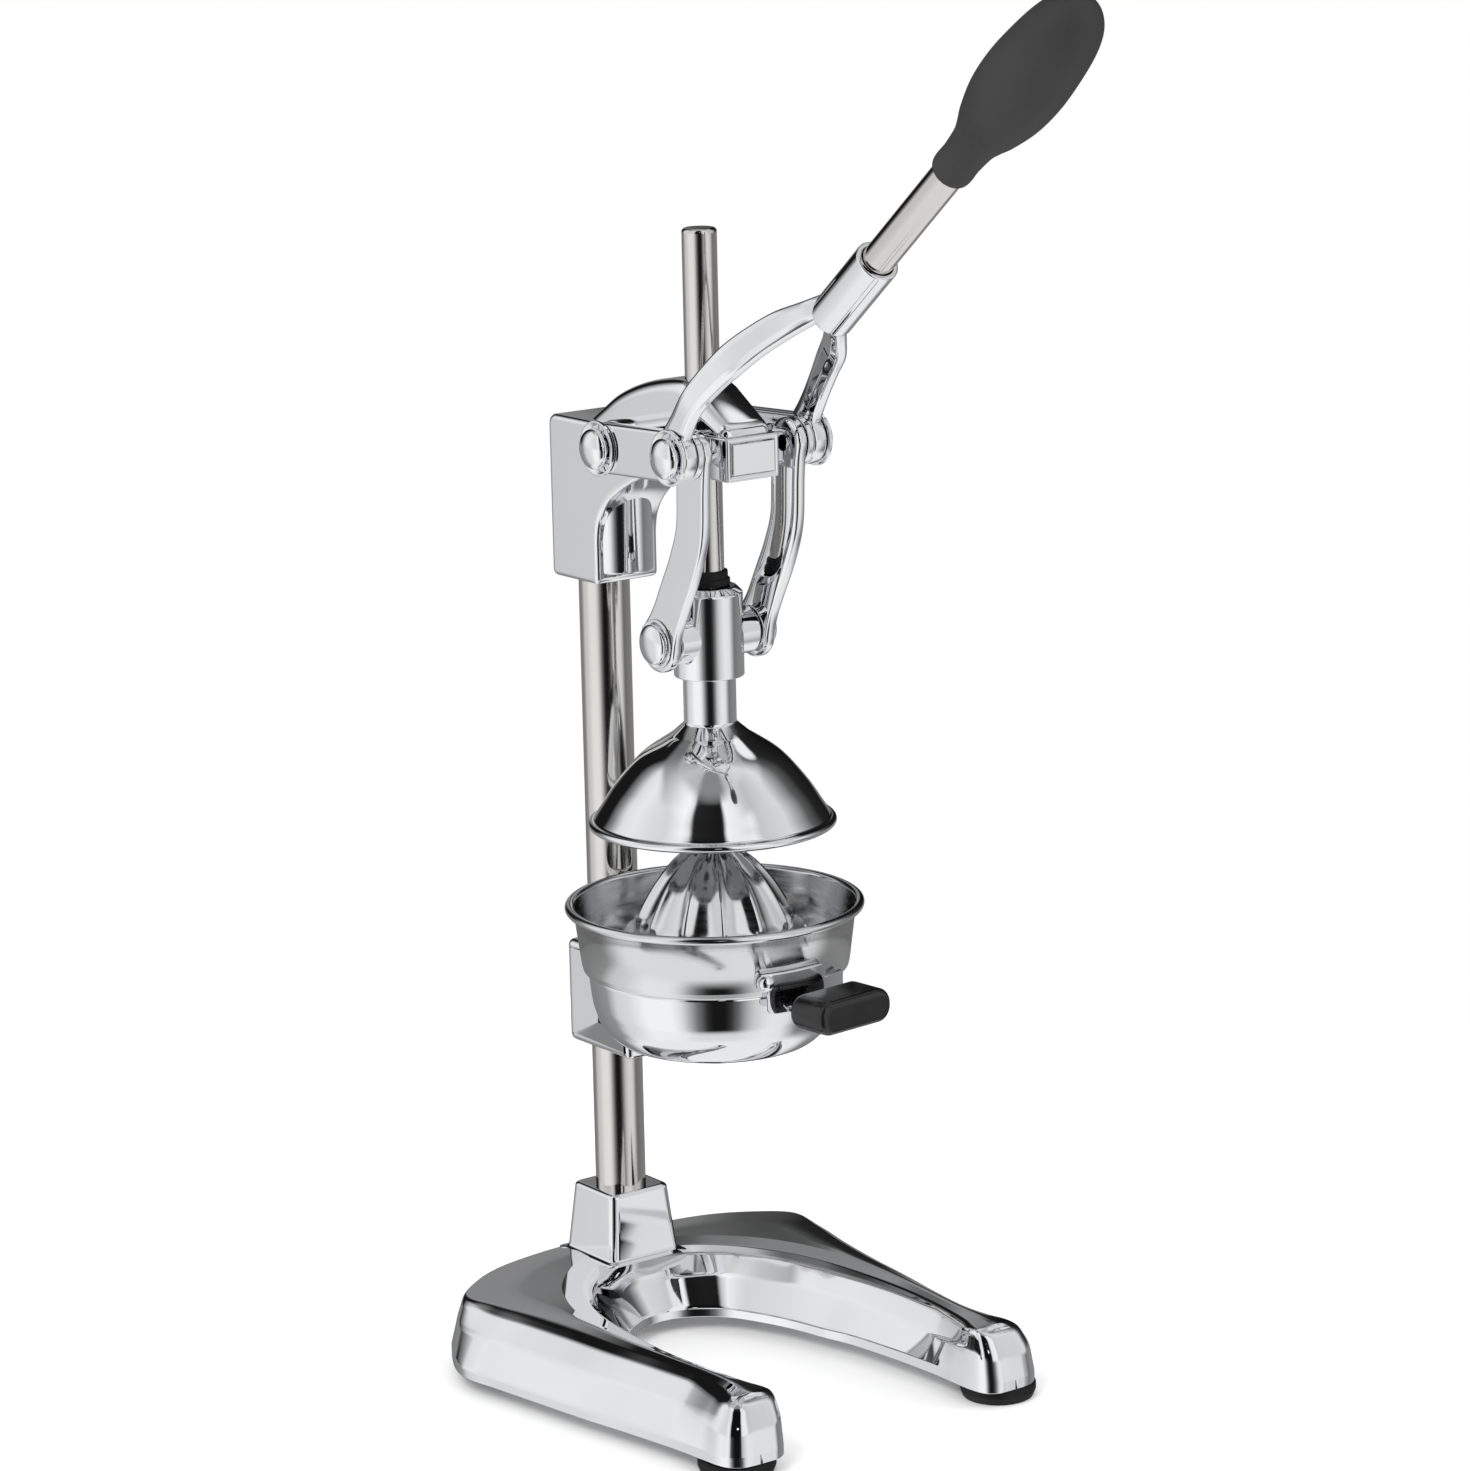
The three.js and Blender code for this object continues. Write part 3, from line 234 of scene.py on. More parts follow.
floor_edge = np.linspace(0, 2 * math.pi, 96, endpoint=False)
floor_rows = [np.stack([r * np.cos(floor_edge), r * np.sin(floor_edge), 0 * floor_edge - 0.02], -1)
              for r in (560.0, 150.0)]
floor = add_mesh("floor", skin(np.array(floor_rows)), (floor_rows[1], [list(range(96))]))
floor.data.materials.append(paper)
floor.visible_glossy = False


def add_light(name, place, aim, size, power):
    """A soft square lamp at a place, facing a point, in millimetres about the rod axis."""
    lamp = bpy.data.lights.new(name, "AREA")
    lamp.size = size
    lamp.energy = power
    holder = bpy.data.objects.new(name, lamp)
    away = np.array(place, float) - np.array(aim, float)
    away /= np.linalg.norm(away)
    side = np.cross([0, 0, 1], away)
    side /= np.linalg.norm(side)
    turned_to = Matrix(np.stack([side, np.cross(away, side), away], 1)).to_4x4()
    holder.matrix_world = Matrix.Translation((np.array(place, float) + [0, AXIS_Y, 0]) * MM) @ turned_to
    holder.visible_glossy = False
    bpy.context.scene.collection.objects.link(holder)


add_light("key", (-1500, -700, 1700), (0, 0, 200), 0.9, 16)
add_light("fill", (1300, -1200, 900), (0, 0, 250), 0.7, 7)

# Feet: four moulded rubber discs with rounded edges, each held by one screw in a recess underneath.
rubber, shader, where = new_material("black_rubber")
grain, dust = where.noise(1400.0, 2.0), where.noise(90.0, 3.0)
feed(shader, dust.band(.45, .75).mix((.004, .004, .005, 1), (.009, .009, .010, 1)), "Base Color")
feed(shader, dust.band(.3, .8, .5, .68), "Roughness")
shader.inputs["Specular IOR Level"].default_value = 0.3
feed(shader, grain.bump(.25), "Normal")


def rounded(corners, radii, closed=True, steps=5, lead=0.25):
    """Rounds a polygon with corners (..., K, D): each corner becomes an arc tangent to its two sides.

    The arc starts where the sides are radius / tan(half angle) from the corner; one support point stands
    lead x radius before and after it, so that flat sides stay flat when shaded."""
    corners = np.asarray(corners, float)
    radii = np.broadcast_to(np.asarray(radii, float), corners.shape[:-1])
    before = np.roll(corners, 1, -2) - corners
    after = np.roll(corners, -1, -2) - corners
    if not closed:
        before[..., 0, :] = -after[..., 0, :]
        after[..., -1, :] = -before[..., -1, :]
    long_before = np.linalg.norm(before, axis=-1) + 1e-9
    long_after = np.linalg.norm(after, axis=-1) + 1e-9
    a = before / long_before[..., None]
    b = after / long_after[..., None]
    cosine = np.clip((a * b).sum(-1), -1 + 1e-9, 1 - 1e-9)
    half = np.arccos(cosine) / 2
    limit = np.minimum(long_before, long_after) * 0.46
    reach = np.minimum(radii / np.tan(half), limit)
    radius = reach * np.tan(half)
    middle = a + b
    middle /= np.linalg.norm(middle, axis=-1, keepdims=True) + 1e-12
    centre = corners + middle * (radius / np.sin(half))[..., None]
    first = corners + a * reach[..., None] - centre
    last = corners + b * reach[..., None] - centre
    sweep = (math.pi - 2 * half)[..., None, None]
    t = np.linspace(0, 1, steps)[:, None]
    safe = np.maximum(np.sin(sweep), 1e-9)
    straight = sweep < 1e-3
    w0 = np.where(straight, 1 - t, np.sin((1 - t) * sweep) / safe)
    w1 = np.where(straight, t, np.sin(t * sweep) / safe)
    arcs = centre[..., None, :] + w0 * first[..., None, :] + w1 * last[..., None, :]
    extra = np.minimum(reach * (1 + lead), np.minimum(long_before, long_after) * 0.49)
    start_point = (corners + a * extra[..., None])[..., None, :]
    end_point = (corners + b * extra[..., None])[..., None, :]
    line = np.concatenate([start_point, arcs, end_point], -2)
    line = line.reshape(*corners.shape[:-2], -1, corners.shape[-1])
    if closed:
        return line
    keep = steps + 2
    return np.concatenate([corners[..., :1, :], line[..., keep:-keep, :], corners[..., -1:, :]], -2)


def through(points, steps=6):
    """A smooth line through points: on each span a cubic whose end slopes are half the neighbours' distance."""
    points = np.asarray(points, float)
    padded = np.concatenate([2 * points[:1] - points[1:2], points, 2 * points[-1:] - points[-2:-1]])
    p0, p1, p2, p3 = padded[:-3], padded[1:-2], padded[2:-1], padded[3:]
    t = np.linspace(0, 1, steps, endpoint=False).reshape(1, -1, *[1] * (points.ndim - 1))
    p0, p1, p2, p3 = (p[:, None] for p in (p0, p1, p2, p3))
    line = 0.5 * (2 * p1 + (p2 - p0) * t + (2 * p0 - 5 * p1 + 4 * p2 - p3) * t**2
                  + (3 * p1 - p0 - 3 * p2 + p3) * t**3)
    return np.concatenate([line.reshape(-1, *points.shape[1:]), points[-1:]])


def turned(profile, sides=96, at=(0, 0, 0), closed=False):
    """A profile of [radius, height] carried round Z: x = radius cos turn, y = radius sin turn, z = height."""
    profile = np.asarray(profile, float)
    angle = np.linspace(0, 2 * math.pi, sides, endpoint=False)
    radius, level = profile[:, :1], profile[:, 1:2]
    grid = np.stack([radius * np.cos(angle), radius * np.sin(angle), level + 0 * angle], -1)
    points, faces = skin(grid, along=closed)
    return points + np.array(at, float), faces


def finish_piece(thing, material, body, slot, *nodes):
    """Gives a piece its material and the body that it moves with, and hides the CAD nodes it stands for. The slot
    (finish) argument is not used.
    """
    thing.data.materials.append(material)
    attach(thing, body)
    if nodes:
        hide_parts(*nodes)


steel, shader, where = new_material("polished_steel", 1)
stretched = where.node("ShaderNodeMapping", None, {"Vector": where, "Scale": (1.0, 1.0, 0.04)})
lines, cloud = stretched.noise(1600.0, 2.0), where.noise(25.0, 3.0)
feed(shader, cloud.mix((.66, .645, .625, 1), (.72, .705, .69, 1)), "Base Color")
feed(shader, lines.band(.3, .7, .07, .13) + cloud.band(.5, .75, 0, .03), "Roughness")
feed(shader, lines.bump(.012), "Normal")

foot_profile = rounded([(2.3, 2.4), (4.3, 2.4), (4.3, 0), (14.1, 0), (15.3, 3), (15.3, 6), (2.3, 6)],
                       [.1, .1, .2, .6, .9, .9, .1])
for name in ("front_left", "front_right", "back_left", "back_right"):
    low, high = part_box(f"foot_{name}")
    middle = ((low[0] + high[0]) / 2 / MM, (low[1] + high[1]) / 2 / MM - AXIS_Y, 0)
    foot = add_mesh(f"rubber_foot_{name}", turned(foot_profile, 64, middle, True))
    finish_piece(foot, rubber, "root", "black_rubber", f"foot_{name}")
    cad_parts[f"foot_screw_{name}"].material_slots[0].material = steel

# Base: one hollow die casting in the shape of a U, ground, polished and chromed, with a square pedestal
# that holds the column.
chrome, shader, where = new_material("chrome", 1)
wave, bloom, specks = where.noise(38.0, 1.0), where.noise(14.0, 4.0), where.noise(700.0, 2.0)
feed(shader, bloom.mix((.80, .81, .83, 1), (.86, .865, .88, 1)), "Base Color")
feed(shader, bloom.band(.4, .7, .025, .06) + specks.band(.62, .75, 0, .05), "Roughness")
feed(shader, wave.bump(.05, .001), "Normal")

half_width, base_back, base_length, base_top, foot_level = 99.5, 100, 210, 33, 6.3
casting_wall, lip_height, hollow_share, blunt_share = 4, 4, .905, .82
column_y = 71.2
# outer foot, outer crest, inner crest and inner foot as width and depth shares, then crest height
base_stations = np.array([
    [0, 0, 0, .043, 0, .171, 0, .262, 1], [.28, .007, .25, .045, .12, .174, .09, .269, 1],
    [.58, .038, .52, .067, .25, .205, .18, .295, 1], [.8, .1, .71, .112, .35, .248, .256, .333, 1],
    [.93, .183, .845, .175, .432, .297, .312, .386, 1], [1, .269, .815, .262, .505, .367, .357, .443, 1],
    [.975, .362, .77, .357, .543, .429, .382, .486, 1], [.935, .486, .73, .476, .568, .495, .407, .543, 1],
    [.895, .608, .7, .608, .588, .608, .441, .607, 1], [.85, .72, .67, .72, .588, .72, .47, .72, 1],
    [.81, .835, .65, .833, .565, .833, .484, .833, 1], [.795, .905, .66, .9, .545, .9, .483, .905, 1],
    [.787, .952, .682, .93, .522, .93, .487, .95, .99], [.765, .98, .686, .946, .516, .948, .503, .982, .98],
    [.722, .996, .665, .957, .54, .958, .545, .998, .975], [.68, 1.0, .64, .96, .57, .961, .59, 1.0, .97],
    [.639, 1.0, .607, .961, .603, .961, .636, 1.0, .97]])


def base_casting():
    """Stations run from the tip of one leg round the back to the other. Each section is a closed rounded polygon
    up the outer flank, over the crest, down the inner flank and back through the hollow."""
    left = base_stations[:0:-1] * np.array([-1, 1, -1, 1, -1, 1, -1, 1, 1])
    rows = through(np.concatenate([left, base_stations]), 7)
    plan = np.stack([rows[:, 0:8:2] * half_width, base_back - rows[:, 1:8:2] * base_length], -1)
    plan[..., 0] = np.clip(plan[..., 0], -half_width, half_width)
    plan[..., 1] = np.maximum(plan[..., 1], base_back - base_length)
    share = rows[:, 8]
    foot_out, crest_out, crest_in, foot_in = (plan[:, i] for i in range(4))
    inward = foot_in - foot_out
    width = np.linalg.norm(inward, axis=-1)
    inward = inward / (width + 1e-9)[:, None]
    lip = foot_level + lip_height
    top = lip + (base_top - lip) * share
    edge = top - 1.5

    def at(place, level):
        return np.concatenate([place, (level + 0 * share)[:, None]], -1)

    blunt = np.clip((rows[:, 1:8:2].mean(1) - blunt_share) / .12, 0, 1)

    def flank(foot, crest, inset, rise, fuller):
        return at(foot + (crest - foot) * (inset - fuller * blunt)[:, None], lip + (edge - lip) * rise)

    crest_gap = np.linalg.norm(crest_in - crest_out, axis=-1, keepdims=True)
    step = np.minimum(9, crest_gap * 0.42) / (crest_gap + 1e-9)
    outside = [at(foot_out, foot_level), at(foot_out, lip), flank(foot_out, crest_out, .42, .55, .24),
               flank(foot_out, crest_out, .8, .9, .2), at(crest_out, edge),
               at(crest_out + (crest_in - crest_out) * 0.4, top),
               at(crest_in + (crest_out - crest_in) * step, top - .35), at(crest_in, edge),
               flank(foot_in, crest_in, .8, .9, .2), flank(foot_in, crest_in, .42, .55, .24),
               at(foot_in, lip), at(foot_in, foot_level)]
    wall = np.minimum(casting_wall, width * 0.3)[:, None] * inward
    depth = np.clip((base_back - base_length * hollow_share - plan[:, :, 1].mean(1)) / -16, 0, 1)
    ceiling = foot_level + (top - casting_wall - foot_level) * np.minimum(depth * 1.5, 1)
    inner = [at(foot_in - wall, foot_level), at(foot_in - wall, foot_level + (ceiling - foot_level) * .2),
             at(crest_in - wall * .5, ceiling), at(crest_out + wall * .5, ceiling),
             at(foot_out + wall, foot_level + (ceiling - foot_level) * .2), at(foot_out + wall, foot_level)]
    section = np.stack(outside + inner, 1)
    radii = [.3, 3, 14, 7, 6, 60, 3, 3, 7, 14, 3, .3, .3, 1, 2, 2, 1, .3]
    return skin(rounded(section, radii, steps=4), capped=True)


def rectangle(half_x, half_y, corner, steps=6):
    """A rounded rectangle about the origin."""
    corners = [(-half_x, -half_y), (half_x, -half_y), (half_x, half_y), (-half_x, half_y)]
    return rounded(corners, corner, steps=steps)


def lifted(outline, level):
    return np.concatenate([outline, np.full((len(outline), 1), float(level))], -1)


def pedestal():
    """A rounded square that shrinks from the casting to the top, with a fillet at its foot and a round rim."""
    profile = rounded([(20, 32), (17.1, 33), (14.5, 61), (9, 61)], [.5, 1.2, 1.6, 1], closed=False, steps=6)
    rings = [lifted(rectangle(half, half, 3.2), level) for half, level in profile]
    points, faces = skin(np.array(rings), capped=True)
    return points + np.array([0, column_y, 0]), faces


base = add_mesh("base_body", base_casting())
finish_piece(base, chrome, "root", "chrome", "base_casting")
block = add_mesh("base_pedestal", pedestal())
finish_piece(block, chrome, "root", "chrome")

# Column: a ground and polished steel bar, bolted up through the pedestal.


def bar_line(radius, low, high, low_edge=.5, high_edge=.5, steps=5):
    """The profile of a round bar from low to high, with the radii of its two rounded rims."""
    corners = [(0, low), (radius, low), (radius, high), (0, high)]
    return rounded(corners, [0, low_edge, high_edge, 0], False, steps)


column = add_mesh("column_bar", turned(bar_line(10.4, 20.3, 370.7, .6, .6), 128, (0, column_y, 0)))
finish_piece(column, steel, "root", "bar_steel", "column")
for name in ("column_washer", "column_bolt"):
    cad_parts[name].material_slots[0].material = steel

# Head: one chromed casting that clamps the column: a flat slab with an arch, a round-backed hump over the rod,
# a square nose with a framed plate, and the boss that carries the lever pins.


def offset(outline, distance):
    """Moves a closed outline in by a distance, square to the line between each point's neighbours."""
    ahead = np.roll(outline, -1, 0) - outline
    behind = outline - np.roll(outline, 1, 0)
    unit = [v / (np.linalg.norm(v, axis=-1, keepdims=True) + 1e-12) for v in (ahead, behind)]
    along = unit[0] + unit[1]
    along /= np.linalg.norm(along, axis=-1, keepdims=True) + 1e-12
    area = np.sum(outline[:, 0] * np.roll(outline[:, 1], -1) - np.roll(outline[:, 0], -1) * outline[:, 1])
    return outline + np.stack([-along[:, 1], along[:, 0]], -1) * distance * np.sign(area)


def slab(outline, low, high, edge, steps=5, crown=None):
    """A closed outline given a thickness from low to high: rings step in round each edge by a quarter circle,
    one more ring keeps the flat face flat. A crown rounds the low face by a quarter ellipse, (inset, depth).
    Returns rings as outline points with a third number."""
    t = np.linspace(0, math.pi / 2, steps)
    inset = np.append(edge * (1 - np.cos(t)), edge * 1.35)
    level = np.append(edge * (1 - np.sin(t)), 0)
    first = (inset, level)
    if crown:
        u = np.linspace(0, math.pi / 2, 12)
        first = (crown[0] * (1 - np.cos(u)), crown[1] * (1 - np.sin(u)))
    rings = [lifted(offset(outline, i), low + v) for i, v in zip(first[0][::-1], first[1][::-1])]
    rings += [lifted(offset(outline, i), high - v) for i, v in zip(inset, level)]
    return np.array(rings)


def side_slab(outline, low, high, edge, crown=None):
    """A slab whose outline is drawn in setback and height, and whose thickness runs along X."""
    rings = slab(np.asarray(outline, float), low, high, edge, crown=crown)
    return skin(rings[..., [2, 0, 1]], capped=True)


def cross_bar(profile, side, at, sides=64, closed=False):
    """A turned piece laid along X: its height runs outward on one side."""
    points, faces = turned(profile, sides, closed=closed)
    return np.stack([side * points[:, 2], points[:, 0], points[:, 1]], -1) + np.array([0, *at]), faces


lever_pin_at = (22.5, 381)
arch = through([(-9.7, 371.3), (0, 371.3), (8.1, 370.4), (21.9, 367.1), (38.7, 359.3), (47.4, 352.6),
                (52, 346.1), (53.8, 339), (54, 332)], 4)[4:]
slab_outline = np.concatenate([rounded([(54, 329), (54, 319), (86.5, 319), (86.5, 385.5), (-9.7, 385.5),
                                        (-9.7, 371.3), arch[0]], [1, 2.6, 2.6, 4.5, 2.6, 2.6, 1], False), arch])
hump_top = through([(63, 385.5), (53.5, 391.5), (42.8, 397.8), (28.4, 403.3), (12.6, 406.9), (0, 407.8),
                    (-8.2, 405.1)], 4)
hump_outline = np.concatenate([[(-31, 380), (62, 380)], hump_top,
                               rounded([(-8.2, 405.1), (-29, 391.9), (-31, 380)], [1, 7, 1], False)[1:-1]])
head = add_mesh("head_body", side_slab(slab_outline, -15, 15, 1.8), side_slab(hump_outline, -11.8, 11.8, 4.2),
                cross_bar(bar_line(10.4, -27.7, 27.7, .8, .8), 1, lever_pin_at),
                turned(bar_line(13, 323, 371, 1.2, 1), 96, (0, 59, 0)))
finish_piece(head, chrome, "root", "chrome", "head_casting")

nose_half, nose_level = np.array([12.7, 8.7]), 380
nose_steps = [(0, 3), (0, -31.2), (.1, -31.7), (.35, -32.1), (.8, -32.3), (1.1, -32.3), (2.1, -32.3),
              (2.4, -32.1), (2.4, -31.5)]
nose_rings = []
for inset, reach in nose_steps:
    ring = rectangle(*(nose_half - inset), max(.9 - inset, .15), 4)
    nose_rings.append(np.stack([ring[:, 0], np.full(len(ring), float(reach)), ring[:, 1] + nose_level], -1))
nose = add_mesh("head_nose", skin(np.array(nose_rings), capped=True))
finish_piece(nose, chrome, "root", "chrome")
plate_rings = slab(rectangle(10, 6, .3, 3), -33, -31.8, .25)
plate = add_mesh("nose_name_plate", skin(plate_rings[..., [0, 2, 1]] + np.array([0, 0, nose_level]), capped=True))
finish_piece(plate, chrome, "root", "chrome", "nose_plate")

bronze, shader, where = new_material("bush_bronze", 1)
spots = where.noise(300.0, 3.0)
feed(shader, spots.mix((.42, .27, .12, 1), (.58, .40, .2, 1)), "Base Color")
feed(shader, spots.band(.3, .7, .25, .4), "Roughness")
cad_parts["guide_bush"].material_slots[0].material = bronze
for name in ("head_set_screw", "holder_set_screw", "crosshead_set_screw"):
    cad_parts[name].material_slots[0].material = steel

# Pins and washers: chromed shoulder pins with domed heads; each has a turned washer under its head,
# and a spacer stands between each arm of the yoke and its link.


def pin_profile(base, end, height, radius=8):
    """A shank, a short land and a head whose top is a quarter ellipse."""
    t = np.linspace(0, math.pi / 2, 12)
    dome = np.stack([radius * np.cos(t), base + 1 + (height - 1) * np.sin(t)], -1)
    foot = rounded([(0, end), (4, end), (4, base), (radius, base), (radius, base + .6)],
                   [0, .4, .2, .3, 0], False)
    return np.concatenate([foot, dome])


def washer_profile(low, high, outer, inner=4.3):
    """A dished ring: a flat rim 0.8 mm wide, then a slope that falls most of the thickness towards the head."""
    return rounded([(inner, low), (outer, low), (outer, high), (outer - .8, high), (outer - 3.2, low + .15),
                    (inner, low + .15)], [.1, .25, .25, .3, .3, .05], steps=4)


link_pin_at, cross_pin_at = (-25, 383), (0, 305)
for word, side in (("left", -1), ("right", 1)):
    for name, body, at, base, end, rise, washer in (
            ("lever_pin", "root", lever_pin_at, 36.3, 18.3, 4.6, (34.6, 36, 11)),
            ("link_pin", "lever", link_pin_at, 36.3, 19.5, 4.6, (34.6, 36, 11)),
            ("cross_pin", "links", cross_pin_at, 26.4, 19.5, 3.3, (25.3, 26.1, 9.8))):
        pin = add_mesh(f"{name}_body_{word}", cross_bar(pin_profile(base, end, rise), side, at))
        finish_piece(pin, chrome, body, "chrome", f"{name}_{word}")
        ring = add_mesh(f"{name}_ring_{word}", cross_bar(washer_profile(*washer), side, at, 72, True))
        finish_piece(ring, chrome, body, "chrome", f"{name}_washer_{word}")
    spacer = add_mesh(f"spacer_{word}", cross_bar(washer_profile(25.3, 27.7, 9.8), side, link_pin_at, 72, True))
    finish_piece(spacer, chrome, "lever", "chrome", f"link_spacer_{word}")

# Lever: a forged and chromed yoke with two bowed arms and a socket, a steel rod in the socket,
# and a soft moulded grip pressed on the rod.
lever_rise, lever_offset = math.radians(39.9), 6.03
lever_origin = np.array([0, link_pin_at[0] + lever_offset * math.sin(lever_rise),
                         link_pin_at[1] + lever_offset * math.cos(lever_rise)])
lever_axis = np.array([0, -math.cos(lever_rise), math.sin(lever_rise)])
lever_square = np.array([0, math.sin(lever_rise), math.cos(lever_rise)])


def along_lever(points):
    """From the lever's own axes (X across, Y square, Z along) to the press's axes."""
    points = np.asarray(points, float)
    return (lever_origin + points[..., :1] * np.array([1, 0, 0]) + points[..., 1:2] * lever_square
            + points[..., 2:3] * lever_axis)


def lever_turned(profile):
    """A turned piece about the lever's own line."""
    points, faces = turned(profile)
    return along_lever(points), faces


def square_to(line):
    """Unit vectors a quarter turn to the left of a line's direction, one at each of its points."""
    ahead = np.gradient(line, axis=0)
    ahead /= np.linalg.norm(ahead, axis=-1, keepdims=True)
    return np.stack([-ahead[:, 1], ahead[:, 0]], -1)


def yoke_arms():
    """Stations run up one arm and down the other; each section is 6.3 mm thick with rounded edges and a crowned
    inner face, square to the line of the arm, from a low to a high edge that change along it."""
    half_arm = np.array([[1, 0, .41, -.81], [.99, .12, .53, -.39], [.97, .26, .76, -.09], [.88, .42, .92, 0],
                         [.78, .56, .99, 0], [.6, .69, 1, .06], [.4, .81, .94, .06], [.21, .905, .78, .04],
                         [0, 1, .62, -.03]])
    rows = through(np.concatenate([half_arm, (half_arm * np.array([-1, 1, 1, 1]))[-2::-1]]), 8)
    line = rows[:, :2] * np.array([31.15, 84])
    outward = -square_to(line)
    high, low = rows[:, 2] * 13.5, rows[:, 3] * 13.5
    tall = high - low

    def corner(out, level):
        place = line + outward * out
        return np.stack([place[:, 0], level, place[:, 1]], -1)

    section = np.stack([corner(2.5, high), corner(3.15, high - tall * .26), corner(3.15, low + tall * .26),
                        corner(2.5, low), corner(-1.8, low), corner(-3.15, low + tall * .3),
                        corner(-3.15, high - tall * .3), corner(-1.8, high)], 1)
    points, faces = skin(rounded(section, [1.6, 5, 5, 1.4, 1.4, 4, 4, 1.6], steps=4), capped=True)
    return along_lever(points), faces


def capsule(first, second, radius, count=28):
    """Two half circles about two places, joined by straight sides."""
    first, second = np.array(first, float), np.array(second, float)
    run = second - first
    angle = math.atan2(run[1], run[0])
    t = np.linspace(-math.pi / 2, math.pi / 2, count)
    ends = [place + radius * np.stack([np.cos(t + angle + turn_by), np.sin(t + angle + turn_by)], -1)
            for place, turn_by in ((second, 0), (first, math.pi))]
    return np.concatenate(ends)


socket_profile = rounded([(0, 80.8), (8.7, 80.8), (8.7, 118.7), (6.7, 118.7), (6.7, 110), (0, 110)],
                         [0, 1, .7, .4, .2, 0], False)
bars = [side_slab(capsule(link_pin_at, lever_pin_at, 10), *ends, 1.2) for ends in ((28, 34.3), (-34.3, -28))]
yoke = add_mesh("yoke_body", yoke_arms(), lever_turned(socket_profile), *bars)
finish_piece(yoke, chrome, "lever", "chrome", "lever_yoke")
lever_rod = add_mesh("lever_bar", lever_turned(bar_line(6.35, 90.3, 249)))
finish_piece(lever_rod, steel, "lever", "bar_steel", "lever_rod")

soft, shader, where = new_material("soft_grip")
fine, rub = where.noise(2600.0, 1.0), where.noise(30.0, 3.0)
feed(shader, rub.band(.35, .7).mix((.022, .022, .023, 1), (.03, .03, .031, 1)), "Base Color")
feed(shader, rub.band(.3, .7, .62, .72), "Roughness")
feed(shader, fine.bump(.2), "Normal")

grip_radius, grip_length, grip_start = 16.3, 101.1, 174.4
grip_line = np.array([[.395, 0], [.455, .006], [.485, .02], [.495, .045], [.487, .075], [.492, .11], [.54, .19],
                      [.65, .25], [.78, .31], [.94, .42], [1, .53], [.985, .64], [.885, .8], [.735, .9],
                      [.52, .96], [.27, .99], [0, 1]]) * np.array([grip_radius, grip_length])
grip_profile = np.concatenate([[(0, 176.5), (6.4, 176.5)], through(grip_line + np.array([0, grip_start]), 6)])
grip_profile[:, 0] = np.maximum(grip_profile[:, 0], 0)
grip = add_mesh("grip_moulding", lever_turned(grip_profile))
finish_piece(grip, soft, "lever", "soft_grip", "lever_grip")

# Links: two bowed chromed bars with round eyes, from the yoke's front pins down to the crosshead.


def link_outline():
    """A bowed centre line with a half width on each side, closed by a half circle round each eye."""
    top, bottom = np.array(link_pin_at, float), np.array(cross_pin_at, float)
    run = bottom - top
    length = np.linalg.norm(run)
    along = run / length
    forward = np.array([along[1], -along[0]])
    share = np.array([0, .167, .369, .551, .742, 1])
    bend = np.array([0, .038, .088, .08, .045, 0])
    line = through(top + np.outer(share * length, along) + np.outer(bend * length, forward), 8)
    square = -square_to(line)
    t = np.linspace(0, 1, len(line))
    half = 8.8 + 0.8 * np.clip(1 - t / .12, 0, 1) ** 2 + 2.8 * np.clip((t - .86) / .14, 0, 1) ** 2
    front = line + square * half[:, None]
    rear = line - square * half[:, None]

    def cap(centre, start_point, end_point, radius):
        a0 = math.atan2(*(start_point - centre)[::-1])
        a1 = math.atan2(*(end_point - centre)[::-1])
        turn_by = (a1 - a0) % (2 * math.pi)
        if turn_by < math.pi * 0.8:
            turn_by -= 2 * math.pi
        angle = a0 + np.linspace(0, 1, 20)[1:-1] * turn_by
        return centre + radius * np.stack([np.cos(angle), np.sin(angle)], -1)

    return np.concatenate([front, cap(bottom, front[-1], rear[-1], 11.6), rear[::-1],
                           cap(top, rear[0], front[0], 9.6)])


link_points, link_faces = side_slab(link_outline(), 19.5, 25, 1.1, (6.6, 2.4))
for word, side in (("right", 1), ("left", -1)):
    link = add_mesh(f"link_bar_{word}", (link_points * np.array([side, 1, 1]), link_faces))
    finish_piece(link, chrome, "links", "chrome", f"link_{word}")

# Ram: a steel rod that slides through the head, a rubber stop ring, the chromed crosshead with its two bosses,
# and the pressed dome on the rod's end.
guide = add_mesh("guide_bar", turned(bar_line(6.9, 269.4, 466.5, .5, 1.6, 7)))
finish_piece(guide, steel, "ram", "bar_steel", "guide_rod")
bumper = add_mesh("bumper", turned(rounded([(7.2, 325.4), (9.15, 325.4), (9.1, 328), (8.3, 328.7), (8.2, 331.4),
                                            (7.2, 331.4)], [.2, .5, .5, .5, .6, .2]), 72, closed=True))
finish_piece(bumper, rubber, "ram", "black_rubber", "bumper_ring")
crosshead_profile = rounded([(7.2, 289), (14, 289), (14, 322.5), (11.4, 325.1), (7.2, 325.1)],
                            [.2, .6, 1.2, 1, .2])
boss = cross_bar(bar_line(9.5, -19.2, 19.2, .6, .6), 1, cross_pin_at)
crosshead = add_mesh("crosshead_body", turned(crosshead_profile, 96, closed=True), boss)
finish_piece(crosshead, chrome, "ram", "chrome", "crosshead")

